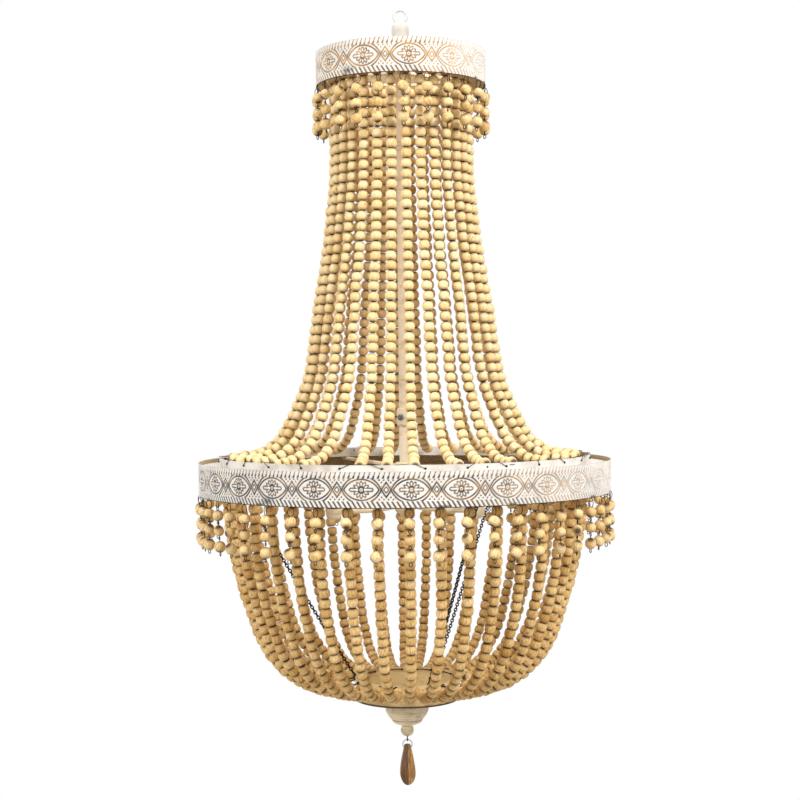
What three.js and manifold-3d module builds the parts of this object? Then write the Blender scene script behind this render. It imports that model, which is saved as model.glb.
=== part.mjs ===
// Beaded basket chandelier in millimetres, +Z up, front toward -Y.
// The zero point is where the hook bears, at the top of the hanging loop's hole.
import * as THREE from "three";
import { mergeGeometries, mergeVertices } from "three/addons/utils/BufferGeometryUtils.js";
import Module from "manifold-3d";

const wasm = await Module();
wasm.setup();

// Shared fits and finenesses
const weld = 0.0001;
const clearance = 0.3;
const overrun = 2;
const uprightShare = 0.9;
const largeSegments = 48;
const mediumSegments = 32;
const smallSegments = 12;
const strandSides = 4;
const rodSides = 6;
const fringeSides = 3;

// Beads and the wire that carries them
const beadDiameter = 13.4;
const wireRadius = 0.55;
const holeRadius = 1.2;

// Hanging loop and the sleeve under it
const loopHoleRadius = 5.7;
const loopWireRadius = 1.8;
const capRadius = 10.5;
const capHeight = 29.5;
const capCrown = 8;

// Stamped bands
const topBandDrop = 49.9;
const topBandRadius = 103.1;
const middleBandRadius = 254;
const bandHeight = 39.4;
const bandThickness = 1;
const bandSpacing = 453;

// Top frame that the upper strands hang from
const topStrandShare = 0.7953;
const hoopRise = 16;
const hoopWidth = 5;
const hoopThickness = 3;
const barWidth = 10;
const frameHubRadius = 13;
const frameHubHeight = 6;
const strandGap = 3.4;
const hookReach = 4;

// Stem, in two lengths joined by a sleeve with a set screw
const stemRadius = 6.2;
const stemWall = 1.4;
const stemJointGap = 1;
const couplingRise = 46.8;
const couplingLength = 22;
const couplingWall = 2.2;
const screwHeadRadius = 4;
const screwHeadHeight = 2;
const screwShankRadius = 1.8;
const screwSlotWidth = 1;
const screwSlotDepth = 0.8;
const screwAngle = -28;

// Collar ring above the middle band, with the holes that the strands are wired to
const collarShare = 0.9;
const collarHeight = 12;
const collarRise = 5.6;
const sheetThickness = 1.2;
const holeDrop = 4;
const collarStrandInset = 10.4;

// Lower ring inside the middle band's bottom edge
const lowerStrandShare = 0.8642;
const lowerRingRise = 1.5;

// Spider that carries the rings on the stem
const spokeRadius = 2.4;
const spiderHubRadius = 12;
const spiderHubHeight = 12;
const spokeCount = 3;
const spokeAngle = 80;

// Candle arms
const armCount = 3;
const armAngle = 60;
const armReach = 100;
const armRadius = 3.1;
const armSagHeight = 4.8;
const armHubRadius = 14;
const armHubHeight = 58;
const armHubBoreDepth = 20;
const bossRadius = 10;
const bossHeight = 14;
const cupRadius = 17;
const cupHeight = 12;
const cupWall = 1.6;
const sleeveRadius = 9;
const sleeveWall = 1.4;
const sleeveHeight = 32;
const sleeveFloor = 4;

// Bowl that gathers the lower strands, and the turned finial under it
const bowlRadius = 64.5;
const bowlWall = 1.4;
const bowlHeight = 28;
const bowlDrop = 232.5;
const bowlFloor = 2;
const bowlLip = 0.9;
const bowlHoleDrop = 3.2;
const bowlStrandGap = 7.8;
const strandSag = 5.8;
const domeRadius = 28;
const domeHeight = 32.6;
const studRadius = 2.9;
const studRise = 8;
const nutRadius = 6;
const nutHeight = 4;
const ballRadius = 8.3;
const ballPinRadius = 2.2;
const ballPinLength = 7;
const dropHookLength = 4.9;
const dropHookRadius = 2.2;
const dropWireRadius = 0.6;
const dropShankLength = 5;
const splitRingRadius = 5.9;

// Hanging drop
const dropRadius = 10.6;
const dropHeight = 52.3;
const dropHoleRadius = 2;
const dropHoleDepth = 5.2;
const dropSides = 6;
const dropTurn = 7.5;

// Chains between the collar ring and the bowl
const chainCount = 3;
const chainLinks = 22;
const linkWidth = 1.7;
const linkThickness = 0.6;

// Bead strands and fringe
const upperCount = 30;
const upperPhase = 3.7;
const upperHoleShare = 1 / 6;
const lowerCount = 40;
const lowerPhase = 1.1;
const topFringeCount = 23;
const topFringePhase = 1.4;
const middleFringeCount = 50;
const middleFringePhase = 1;
const fringeLoopLength = 11.7;
const fringeSmallRadius = 6;
const fringeLargeRadius = 7;
const fringeTailLength = 4;

// Course of a strand: share of its run outward or inward, share of its fall
const upperCourseShares = [
  [0, 0], [0.01, 0.28], [0.09, 0.48], [0.225, 0.71], [0.42, 0.9], [0.68, 0.983], [1, 1],
];
const lowerCourseShares = [
  [0, 0], [0.065, 0.337], [0.252, 0.731], [0.411, 0.88], [0.554, 0.952], [0.791, 0.996], [1, 0.979],
];
// How far each upper strand's lower end drifts round the collar, in strand spacings
const driftShares = [
  -0.05, 0.06, -0.2, -0.44, -0.12, 0.08, 0.02, -0.1, 0.14, 0.05, -0.08, 0.1, -0.04, 0.12, -0.06,
  0.09, -0.12, 0.04, 0.1, -0.07, 0.03, -0.1, 0.08, 0.05, -0.03, 0.06, 0.02, -0.04, 0.58, 0.26,
];
// Turned outlines: share of the radius, share of the height from the top
const armHubShares = [
  [0.75, 0], [0.95, 0.04], [0.95, 0.12], [0.65, 0.2], [0.6, 0.42],
  [1, 0.62], [1, 0.8], [0.42, 0.94], [0.25, 1],
];
const bossShares = [[1, 0], [0.97, 0.4], [0.88, 0.72], [0.7, 0.92], [0.4, 1]];
const cupOutsideShares = [[1, 0], [0.98, 0.12], [0.62, 0.62], [0.47, 1]];
const domeShares = [
  [1, 0], [0.989, 0.282], [0.954, 0.466], [0.864, 0.632], [0.729, 0.779],
  [0.693, 0.8], [0.686, 0.853], [0.6, 0.939], [0.43, 1],
];
const dropShares = [
  [0.38, 0], [0.475, 0.08], [0.62, 0.2], [0.8, 0.36], [0.93, 0.52],
  [1, 0.66], [0.97, 0.78], [0.76, 0.9], [0.42, 0.965], [0.2, 1],
];
const capShares = [[0, 0], [0.55, 0], [0.9, 0.068], [1, 0.171], [1, 1]];
const armCourseShares = [[0.06, 0], [0.25, 0.7], [0.5, 1], [0.75, 1], [1, 0.85]];
// Where the arms leave their hub, and where the ball is cut flat above and below
const armRootShare = 0.7;
const ballTopShare = 0.45;
const ballFootShare = 0.25;

// Heights that follow from the sizes above
const loopCentreZ = -loopHoleRadius;
const capTopZ = loopCentreZ - loopHoleRadius - loopWireRadius;
const capBottomZ = capTopZ - capHeight;
const topBandTopZ = -topBandDrop;
const topBandBottomZ = topBandTopZ - bandHeight;
const hoopBottomZ = topBandBottomZ + hoopRise;
const hoopTopZ = hoopBottomZ + hoopThickness;
const frameHubTopZ = hoopBottomZ + frameHubHeight;
const middleBandTopZ = topBandBottomZ - bandSpacing;
const middleBandBottomZ = middleBandTopZ - bandHeight;
const collarTopZ = middleBandTopZ + collarRise;
const collarBottomZ = collarTopZ - collarHeight;
const collarHoleZ = collarTopZ - holeDrop;
const couplingZ = collarTopZ + couplingRise;
const spokeZ = collarBottomZ - clearance - spokeRadius;
const armHubTopZ = spokeZ - spiderHubHeight / 2 - clearance;
const armRootZ = armHubTopZ - armHubHeight * armRootShare;
const cupBottomZ = armRootZ + clearance;
const cupTopZ = cupBottomZ + cupHeight;
const sleeveBottomZ = cupBottomZ + cupWall + clearance;
const lowerRingBottomZ = middleBandBottomZ + lowerRingRise;
const lowerRingTopZ = lowerRingBottomZ + sheetThickness;
const bowlTopZ = middleBandBottomZ - bowlDrop;
const bowlBottomZ = bowlTopZ - bowlHeight;
const bowlHoleZ = bowlTopZ - bowlHoleDrop;
const domeTopZ = bowlBottomZ - clearance;
const domeBottomZ = domeTopZ - domeHeight;
const ballTopZ = domeBottomZ - clearance;
const ballCentreZ = ballTopZ - ballRadius * Math.cos(Math.asin(ballTopShare));
const ballBottomZ = ballCentreZ - ballRadius * Math.cos(Math.asin(ballFootShare));
const hookEyeZ = ballBottomZ - dropHookLength + dropHookRadius / 2;
const splitRingZ = hookEyeZ - dropHookRadius + 2 * dropWireRadius + clearance - splitRingRadius;

// Radii that follow from the sizes above
const topStrandRadius = topBandRadius * topStrandShare;
const collarRadius = middleBandRadius * collarShare;
const lowerStrandRadius = middleBandRadius * lowerStrandShare;
const beadRadius = beadDiameter / 2;
const bandInside = middleBandRadius - bandThickness;
const topBandInside = topBandRadius - bandThickness;
const wireOff = wireRadius + clearance;
const hoopInside = around(topStrandRadius + wireOff, mediumSegments);
const stemBore = stemRadius + clearance;
const couplingRadius = stemBore + couplingWall;
const collarInside = collarRadius - sheetThickness;
const lowerRingInside = around(lowerStrandRadius + wireOff, largeSegments);
const bowlInside = bowlRadius - bowlWall;
const bowlLining = flats(bowlInside, mediumSegments) - wireOff;
const crowdRadius = lowerCount * (beadDiameter + clearance) / (2 * Math.PI);

const finishes = {
  cream: { color: 0xd9d2c4, metalness: 0.1, roughness: 0.7 },
  bronze: { color: 0x4a4038, metalness: 0.8, roughness: 0.5 },
  steel: { color: 0xa8aaab, metalness: 0.9, roughness: 0.35 },
  beads: { color: 0xd8b987, metalness: 0, roughness: 0.6 },
  drop: { color: 0x7d5434, metalness: 0, roughness: 0.6 },
  candle: { color: 0xe7dfcb, metalness: 0, roughness: 0.6 },
};

/** Distance from the axis to the flats of a turned piece. */
function flats(radius, segments) {
  return radius * Math.cos(Math.PI / segments);
}

/** Radius of a turned piece whose flats keep the given distance from the axis. */
function around(radius, segments) {
  return radius / Math.cos(Math.PI / segments);
}

/** A point from its distance to the axis, its angle round from the front, and its height. */
function polar(radius, degrees, z) {
  const angle = THREE.MathUtils.degToRad(degrees);
  return new THREE.Vector3(radius * Math.sin(angle), -radius * Math.cos(angle), z);
}

/** Welds a shape's corners and drops faces that have closed up. */
function welded(shape) {
  const bare = shape.clone();
  bare.deleteAttribute("normal");
  bare.deleteAttribute("uv");
  const joined = mergeVertices(bare, weld);
  const kept = [];
  for (let i = 0; i < joined.index.count; i += 3) {
    const [a, b, c] = [joined.index.getX(i), joined.index.getX(i + 1), joined.index.getX(i + 2)];
    if (a !== b && b !== c && c !== a) kept.push(a, b, c);
  }
  joined.setIndex(kept);
  return joined;
}

/** Six times the volume that a welded shape's faces enclose. */
function enclosed(shape) {
  const at = shape.attributes.position;
  const corner = (i) => new THREE.Vector3().fromBufferAttribute(at, shape.index.getX(i));
  let sum = 0;
  for (let i = 0; i < shape.index.count; i += 3) {
    sum += corner(i).dot(corner(i + 1).cross(corner(i + 2)));
  }
  return sum;
}

/** A closed solid that can be joined to others and cut. */
function solid(shape) {
  const joined = welded(shape);
  const faces = Array.from(joined.index.array);
  if (enclosed(joined) < 0) faces.reverse();
  return new wasm.Manifold(new wasm.Mesh({
    numProp: 3,
    vertProperties: new Float32Array(joined.attributes.position.array),
    triVerts: new Uint32Array(faces),
  }));
}

/** All of the solids joined into one. */
function union(solids) {
  return solids.reduce((whole, piece) => whole.add(piece));
}

/** Revolves an outline of [radius, height] points about the axis. */
function turned(outline, segments, degrees = 0) {
  const points = outline.map(([radius, height]) => new THREE.Vector2(radius, height));
  const lathe = new THREE.LatheGeometry(points, segments);
  lathe.rotateX(Math.PI / 2);
  lathe.rotateZ(THREE.MathUtils.degToRad(degrees));
  return solid(lathe);
}

/** A ring of rectangular section. */
function hoop(inside, outside, bottom, top, segments) {
  const start = [inside, bottom];
  return turned([start, [outside, bottom], [outside, top], [inside, top], start], segments);
}

/** A solid cylinder standing on the axis. */
function disc(radius, bottom, top, segments) {
  return turned([[0, bottom], [radius, bottom], [radius, top], [0, top]], segments);
}

/** Outline points from shares of a radius and of a height below the top. */
function outline(shares, radius, top, height) {
  return shares.map(([across, down]) => [across * radius, top - down * height]);
}

/** A solid turned piece from its shares, closed on the axis. */
function turnedPiece(shares, radius, top, height, segments, degrees = 0) {
  const points = outline(shares, radius, top, height);
  return turned([[0, top], ...points, [0, top - height]], segments, degrees);
}

/** Unit directions along a path, each the mean of the two spans that meet there. */
function directions(stations) {
  return stations.map((station, i) => {
    const before = stations[Math.max(i - 1, 0)].at;
    const after = stations[Math.min(i + 1, stations.length - 1)].at;
    const arriving = station.at.clone().sub(before).normalize();
    return arriving.add(after.clone().sub(station.at).normalize()).normalize();
  });
}

/** One cross section: corners round a point, as wide and as deep as asked. */
function section(at, across, beside, width, sides) {
  const [wide, deep] = Array.isArray(width) ? width : [width, width];
  return Array.from({ length: sides }, (_, k) => {
    const angle = 2 * Math.PI * k / sides;
    const sideways = at.clone().addScaledVector(across, wide * Math.cos(angle));
    return sideways.addScaledVector(beside, deep * Math.sin(angle));
  });
}

/** The cross sections of a swept solid, kept from twisting along the way. */
function sections(stations, sides) {
  const ways = directions(stations);
  let across = Math.abs(ways[0].z) > uprightShare ? new THREE.Vector3(1, 0, 0) : new THREE.Vector3(0, 0, 1);
  const rings = [];
  stations.forEach(({ at, into, out }, i) => {
    across = across.clone().addScaledVector(ways[i], -across.dot(ways[i])).normalize();
    const beside = ways[i].clone().cross(across);
    rings.push(section(at, across, beside, into, sides));
    if (out !== undefined && out !== into) rings.push(section(at, across, beside, out, sides));
  });
  return rings;
}

/** Sweeps a round section along stations of { at, into, out } radii. */
function swept(stations, sides) {
  const rings = sections(stations, sides);
  const corners = rings.flat();
  const faces = [];
  for (let i = 0; i < rings.length - 1; i += 1) {
    for (let k = 0; k < sides; k += 1) {
      const a = i * sides + k;
      const b = i * sides + (k + 1) % sides;
      faces.push(a, b, a + sides, b, b + sides, a + sides);
    }
  }
  const last = corners.length - sides;
  for (let k = 1; k < sides - 1; k += 1) faces.push(0, k + 1, k, last, last + k, last + k + 1);
  return solid(new THREE.BufferGeometry().setFromPoints(corners).setIndex(faces));
}

/** Sweeps one radius through points. */
function rod(points, radius, sides) {
  return swept(points.map((at) => ({ at, into: radius })), sides);
}

/** A flat ring of round wire standing in the plane across the given axis. */
function wireRing(radius, wire, segments, sides, turn, centre) {
  const torus = new THREE.TorusGeometry(radius, wire, sides, segments);
  torus.rotateX(Math.PI / 2);
  torus.rotateZ(turn);
  torus.translate(centre.x, centre.y, centre.z);
  return solid(torus);
}

/** A bar of rectangular section lying outward from the axis. */
function outwardBar(start, end, width, bottom, top, degrees) {
  const bar = new THREE.BoxGeometry(width, end - start, top - bottom);
  bar.translate(0, -(start + end) / 2, (bottom + top) / 2);
  bar.rotateZ(THREE.MathUtils.degToRad(degrees));
  return solid(bar);
}

/** Short rods through a wall, one at each angle, to cut holes with. */
function holeCutters(inside, outside, z, radius, angles) {
  return union(angles.map((degrees) => {
    const ends = [polar(inside, degrees, z), polar(outside, degrees, z)];
    return rod(ends, radius, strandSides);
  }));
}

/** Angles of a ring of equal steps. */
function spread(count, phase) {
  return Array.from({ length: count }, (_, i) => phase + i * 360 / count);
}

/** Angle of an upper strand at the top frame. */
function upperAngle(i) {
  return upperPhase + i * 360 / upperCount;
}

/** Angle of the collar hole that an upper strand is wired to. */
function collarHoleAngle(i) {
  return upperAngle(i + upperHoleShare);
}

/** Angle of a lower strand all the way down. */
function lowerAngle(i) {
  return lowerPhase + i * 360 / lowerCount;
}

/** Angle of the bowl hole that two neighbouring lower strands share. */
function bowlHoleAngle(pair) {
  return lowerAngle(2 * pair + 0.5);
}

/** Angle of a chain, midway between two collar holes. */
function chainAngle(i) {
  return collarHoleAngle(1.5) + i * 360 / chainCount;
}

/** Bead string stations of one upper strand, from its hook down to the collar. */
function upperStrand(i) {
  const startZ = hoopBottomZ - strandGap;
  const endZ = collarTopZ + wireOff;
  const endRadius = collarInside - collarStrandInset;
  const drift = driftShares[((i % upperCount) + upperCount) % driftShares.length] * 360 / upperCount;
  const hookZ = hoopTopZ + wireOff;
  const stations = [
    { at: polar(topStrandRadius + hookReach, upperAngle(i), hookZ), into: wireRadius },
    { at: polar(topStrandRadius, upperAngle(i), hookZ), into: wireRadius },
  ];
  upperCourseShares.forEach(([across, down], step) => {
    const radius = topStrandRadius + across * (endRadius - topStrandRadius);
    const angle = upperAngle(i) + across * drift;
    const first = step === 0;
    const last = step === upperCourseShares.length - 1;
    stations.push({
      at: polar(radius, angle, startZ + down * (endZ - startZ)),
      into: first ? wireRadius : beadRadius,
      out: last ? wireRadius : beadRadius,
    });
  });
  return stations;
}

/** Wire from a strand's end over the collar's edge, in through its hole. */
function collarWire(i) {
  const angle = collarHoleAngle(i);
  return [
    { at: polar(collarRadius + wireOff, angle, collarTopZ + wireOff), into: wireRadius },
    { at: polar(collarRadius + wireOff, angle, collarHoleZ), into: wireRadius },
    { at: polar(flats(collarInside, largeSegments) - wireOff, angle, collarHoleZ), into: wireRadius },
  ];
}

/** The same stations walked the other way. */
function backward(stations) {
  return stations.map(({ at, into, out }) => ({ at, into: out ?? into, out: into })).reverse();
}

/** Two upper strands on the one wire that passes through their two holes. */
function upperPair(pair) {
  const first = 2 * pair;
  const second = first + 1;
  const there = [...upperStrand(first), ...collarWire(first)];
  const back = [...backward(collarWire(second)), ...backward(upperStrand(second))];
  return swept([...there, ...back], strandSides);
}

/** Where a lower strand's course reaches a share of its run. */
function lowerPoint(across, down, angle) {
  const endRadius = bowlRadius + bowlStrandGap;
  const startZ = middleBandBottomZ - strandGap;
  const lowZ = bowlHoleZ - strandSag;
  const radius = lowerStrandRadius + across * (endRadius - lowerStrandRadius);
  return { radius, at: polar(radius, angle, startZ + down * (lowZ - startZ)), across, down };
}

/** Bead string stations of one lower strand; every other one stops where the strands crowd. */
function lowerStrand(i) {
  const angle = lowerAngle(i);
  const hookZ = lowerRingTopZ + wireOff;
  const stations = [
    { at: polar(lowerStrandRadius + hookReach, angle, hookZ), into: wireRadius },
    { at: polar(lowerStrandRadius, angle, hookZ), into: wireRadius },
  ];
  const course = lowerCourseShares.map(([across, down]) => lowerPoint(across, down, angle));
  const limit = i % 2 === 0 ? crowdRadius : 0;
  const kept = [];
  for (const point of course) {
    const before = kept[kept.length - 1];
    if (point.radius >= limit) {
      kept.push(point);
      continue;
    }
    const part = (before.radius - limit) / (before.radius - point.radius);
    const across = before.across + part * (point.across - before.across);
    kept.push(lowerPoint(across, before.down + part * (point.down - before.down), angle));
    break;
  }
  kept.forEach((point, step) => {
    stations.push({
      at: point.at,
      into: step === 0 ? wireRadius : beadRadius,
      out: step === kept.length - 1 ? wireRadius : beadRadius,
    });
  });
  return stations;
}

/** Two neighbouring lower strands that meet at one hole of the bowl. */
function lowerPair(pair) {
  const meeting = polar(bowlRadius + wireOff + clearance, bowlHoleAngle(pair), bowlHoleZ);
  const hole = { at: meeting, into: wireRadius };
  return swept([...lowerStrand(2 * pair), hole, ...backward(lowerStrand(2 * pair + 1))], strandSides);
}

/** Wire staple that passes through two neighbouring bowl holes and lies inside the wall. */
function bowlStaple(pair) {
  const outside = bowlRadius + wireOff + clearance;
  const inside = bowlLining;
  return rod([
    polar(outside, bowlHoleAngle(pair), bowlHoleZ), polar(inside, bowlHoleAngle(pair), bowlHoleZ),
    polar(inside, bowlHoleAngle(pair + 1), bowlHoleZ), polar(outside, bowlHoleAngle(pair + 1), bowlHoleZ),
  ], wireRadius, strandSides);
}

/** Four lower strands on one wire. */
function lowerGroup(group) {
  const first = 2 * group;
  return union([lowerPair(first), lowerPair(first + 1), bowlStaple(first)]);
}

/** Fringe under a band: its hem wire and the three-bead danglers that hang from it. */
function fringe(radius, bandBottom, count, phase) {
  const hemZ = bandBottom - clearance - wireRadius;
  const hemInside = [radius - wireRadius, hemZ];
  const hemOutside = radius + wireRadius;
  const hem = turned([
    hemInside, [hemOutside, hemZ - wireRadius], [hemOutside, hemZ + wireRadius], hemInside,
  ], count, phase);
  const small = 2 * fringeSmallRadius;
  const large = 2 * fringeLargeRadius;
  const topZ = hemZ - fringeLoopLength;
  const knots = [
    [hemZ, wireRadius], [topZ, wireRadius], [topZ - small / 2, fringeSmallRadius],
    [topZ - small, 2 * wireRadius], [topZ - 2 * small + small / 4, fringeSmallRadius],
    [topZ - 2 * small - small / 2, 2 * wireRadius],
    [topZ - 2 * small - small / 2 - large / 2, fringeLargeRadius],
    [topZ - 2 * small - small / 2 - large - fringeTailLength, wireRadius],
  ];
  const danglers = spread(count, phase).map((degrees) => swept(
    knots.map(([z, width]) => ({ at: polar(radius, degrees, z), into: width })), fringeSides));
  return union([hem, ...danglers]);
}

/** Cast loop with the sleeve that screws onto the stem's top. */
function hangingLoop() {
  const centre = new THREE.Vector3(0, 0, loopCentreZ);
  const ring = wireRing(loopHoleRadius + loopWireRadius, loopWireRadius, smallSegments, rodSides, 0, centre);
  const sleeve = turned([
    ...outline(capShares, capRadius, capTopZ, capHeight), [stemBore, capBottomZ],
    [stemBore, capTopZ - capCrown], [0, capTopZ - capCrown],
  ], smallSegments);
  return ring.add(sleeve);
}

/** Hub, bars and hoop that the upper strands hang from. */
function topFrame() {
  const pieces = [
    hoop(stemBore, frameHubRadius, hoopBottomZ, frameHubTopZ, smallSegments),
    hoop(hoopInside, hoopInside + hoopWidth, hoopBottomZ, hoopTopZ, mediumSegments),
  ];
  const start = (stemBore + frameHubRadius) / 2;
  const end = topBandInside - clearance - bandThickness;
  for (const degrees of spread(spokeCount, upperAngle(0.5))) {
    pieces.push(outwardBar(start, end, barWidth, hoopBottomZ, hoopTopZ, degrees));
  }
  return union(pieces);
}

/** One length of stem tube. */
function stemTube(bottom, top) {
  return hoop(stemRadius - stemWall, stemRadius, bottom, top, smallSegments);
}

/** Sleeve over the stem's joint, with the set screw's hole. */
function coupling() {
  const half = couplingLength / 2;
  const sleeve = hoop(stemBore, couplingRadius, couplingZ - half, couplingZ + half, smallSegments);
  const bore = rod([
    polar(stemRadius, screwAngle, couplingZ), polar(couplingRadius + overrun, screwAngle, couplingZ),
  ], screwShankRadius + clearance, smallSegments);
  return sleeve.subtract(bore);
}

/** Slotted set screw that stands in the sleeve. */
function setScrew() {
  const tip = polar(stemRadius + clearance, screwAngle, couplingZ);
  const seat = polar(couplingRadius + clearance, screwAngle, couplingZ);
  const face = polar(couplingRadius + clearance + screwHeadHeight, screwAngle, couplingZ);
  const screw = swept([
    { at: tip, into: screwShankRadius }, { at: seat, into: screwShankRadius, out: screwHeadRadius },
    { at: face, into: screwHeadRadius },
  ], smallSegments);
  const depth = couplingRadius + clearance + screwHeadHeight;
  const slot = new THREE.BoxGeometry(screwSlotWidth, 2 * screwSlotDepth, 2 * screwHeadRadius + overrun);
  slot.rotateY(-Math.PI / 4);
  slot.translate(0, -depth, couplingZ);
  slot.rotateZ(THREE.MathUtils.degToRad(screwAngle));
  return screw.subtract(solid(slot));
}

/** Collar strip with its ledge to the band and the holes that the strands are wired through. */
function collarRing() {
  const ring = turned([
    [collarInside, collarBottomZ], [bandInside - clearance, collarBottomZ],
    [bandInside - clearance, collarBottomZ + sheetThickness], [collarRadius, collarBottomZ + sheetThickness],
    [collarRadius, collarTopZ], [collarInside, collarTopZ], [collarInside, collarBottomZ],
  ], largeSegments);
  const angles = Array.from({ length: upperCount }, (_, i) => collarHoleAngle(i));
  for (let i = 0; i < chainCount; i += 1) angles.push(chainAngle(i));
  const inside = collarInside - overrun;
  return ring.subtract(holeCutters(inside, collarRadius + overrun, collarHoleZ, holeRadius, angles));
}

/** Flat ring inside the middle band's bottom edge. */
function lowerRing() {
  return hoop(lowerRingInside, bandInside - clearance, lowerRingBottomZ, lowerRingTopZ, largeSegments);
}

/** Hub on the stem with the spokes that hold the collar ring. */
function spider() {
  const half = spiderHubHeight / 2;
  const pieces = [hoop(stemBore, spiderHubRadius, spokeZ - half, spokeZ + half, smallSegments)];
  const start = (stemBore + spiderHubRadius) / 2;
  for (const degrees of spread(spokeCount, spokeAngle)) {
    const end = flats(bandInside, largeSegments) - 2 * clearance;
    pieces.push(rod([polar(start, degrees, spokeZ), polar(end, degrees, spokeZ)], spokeRadius, rodSides));
  }
  return union(pieces);
}

/** Turned hub with the candle arms and the bosses at their ends. */
function armHub() {
  const body = turnedPiece(armHubShares, armHubRadius, armHubTopZ, armHubHeight, smallSegments);
  const pieces = [body];
  for (const degrees of spread(armCount, armAngle)) {
    const course = armCourseShares.map(
      ([out, down]) => polar(out * armReach, degrees, armRootZ - down * armSagHeight));
    const end = polar(armReach, degrees, 0);
    const boss = turnedPiece(bossShares, bossRadius, armRootZ, bossHeight, smallSegments);
    pieces.push(rod(course, armRadius, rodSides), boss.translate([end.x, end.y, 0]));
  }
  const bore = disc(stemBore, armHubTopZ - armHubBoreDepth, armHubTopZ + overrun, smallSegments);
  return union(pieces).subtract(bore);
}

/** Drip cup that stands on an arm's boss. */
function cup(degrees) {
  const outside = outline(cupOutsideShares, cupRadius, cupTopZ, cupHeight);
  const socket = sleeveRadius + 2 * clearance;
  const floorZ = cupBottomZ + cupWall;
  const end = polar(armReach, degrees, 0);
  return turned([
    [0, cupBottomZ], ...outside.reverse(), [cupRadius - cupWall, cupTopZ],
    [socket, floorZ + cupHeight / 3], [socket, floorZ], [0, floorZ],
  ], smallSegments).translate([end.x, end.y, 0]);
}

/** Candle sleeve, closed at the foot and open for its lamp holder at the top. */
function candleSleeve(degrees) {
  const end = polar(armReach, degrees, 0);
  const foot = sleeveRadius - clearance;
  const inside = foot - sleeveWall;
  const topZ = sleeveBottomZ + sleeveHeight;
  const floorZ = sleeveBottomZ + sleeveFloor;
  return turned([
    [0, sleeveBottomZ], [foot, sleeveBottomZ], [foot, topZ], [inside, topZ], [inside, floorZ], [0, floorZ],
  ], smallSegments).translate([end.x, end.y, 0]);
}

/** Link chain from the collar ring down to the bowl's rim, its links turned by quarters. */
function chain(i) {
  const degrees = chainAngle(i);
  const top = polar(flats(collarInside, largeSegments) - wireOff, degrees, collarHoleZ);
  const foot = polar(bowlRadius + 2 * linkWidth, degrees, bowlTopZ + 2 * linkWidth);
  const outside = polar(collarRadius + wireOff, degrees, collarHoleZ);
  const stations = [{ at: outside, into: wireRadius }, { at: top, into: wireRadius }];
  for (let link = 1; link < chainLinks; link += 1) {
    const flat = link % 2 === 0;
    const width = flat ? [linkWidth, linkThickness] : [linkThickness, linkWidth];
    stations.push({ at: top.clone().lerp(foot, link / chainLinks), into: width });
  }
  stations.push({ at: foot, into: wireRadius });
  stations.push({ at: polar(bowlLining, degrees, bowlTopZ + wireOff + clearance), into: wireRadius });
  stations.push({ at: polar(bowlLining, degrees, bowlTopZ - bowlHoleDrop / 2), into: wireRadius });
  return swept(stations, strandSides);
}

/** Open bowl with a lipped foot, strand holes and the stud's hole. */
function bowl() {
  const foot = bowlRadius + bowlLip;
  const wall = turned([
    [studRadius + clearance, bowlBottomZ], [foot, bowlBottomZ], [foot, bowlBottomZ + bowlFloor],
    [bowlRadius, bowlBottomZ + bowlFloor], [bowlRadius, bowlTopZ], [bowlInside, bowlTopZ],
    [bowlInside, bowlBottomZ + bowlFloor], [studRadius + clearance, bowlBottomZ + bowlFloor],
    [studRadius + clearance, bowlBottomZ],
  ], mediumSegments);
  const angles = Array.from({ length: lowerCount / 2 }, (_, pair) => bowlHoleAngle(pair));
  const inside = bowlInside - overrun;
  return wall.subtract(holeCutters(inside, bowlRadius + overrun, bowlHoleZ, holeRadius, angles));
}

/** Two-tier dome with the stud and nut that hold it to the bowl. */
function finialDome() {
  const body = turnedPiece(domeShares, domeRadius, domeTopZ, domeHeight, mediumSegments / 2);
  const stud = disc(studRadius, domeTopZ - overrun, bowlBottomZ + bowlFloor + studRise, smallSegments);
  const nutZ = bowlBottomZ + bowlFloor + clearance;
  const nut = disc(nutRadius, nutZ, nutZ + nutHeight, rodSides);
  const boreTopZ = ballTopZ + ballPinLength + 2 * clearance;
  const bore = disc(ballPinRadius + clearance, domeBottomZ - overrun, boreTopZ, smallSegments);
  return union([body, stud, nut]).subtract(bore);
}

/** Turned ball with its pin above and a bore for the hook's shank below. */
function finialBall() {
  const steps = 6;
  const pinTopZ = ballTopZ + ballPinLength;
  const points = [[0, pinTopZ], [ballPinRadius, pinTopZ], [ballPinRadius, ballTopZ]];
  const start = Math.asin(ballTopShare);
  const end = Math.PI - Math.asin(ballFootShare);
  for (let i = 0; i <= steps; i += 1) {
    const angle = start + (end - start) * i / steps;
    points.push([ballRadius * Math.sin(angle), ballCentreZ + ballRadius * Math.cos(angle)]);
  }
  const bore = dropWireRadius + clearance;
  const boreTopZ = ballBottomZ + dropShankLength + clearance;
  points.push([bore, ballBottomZ], [bore, boreTopZ], [0, boreTopZ]);
  return turned(points, smallSegments);
}

/** Wire hook under the ball: a shank with a small eye. */
function dropHook() {
  const centre = new THREE.Vector3(0, 0, hookEyeZ);
  const eye = wireRing(dropHookRadius, dropWireRadius, smallSegments, strandSides, Math.PI / 2, centre);
  const shank = rod([
    polar(0, 0, ballBottomZ + dropShankLength), polar(0, 0, hookEyeZ + dropHookRadius),
  ], dropWireRadius, strandSides);
  return eye.add(shank);
}

/** Split ring that hangs in the hook's eye. */
function splitRing() {
  const centre = new THREE.Vector3(0, 0, splitRingZ);
  return wireRing(splitRingRadius, dropWireRadius, smallSegments, strandSides, 0, centre);
}

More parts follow.
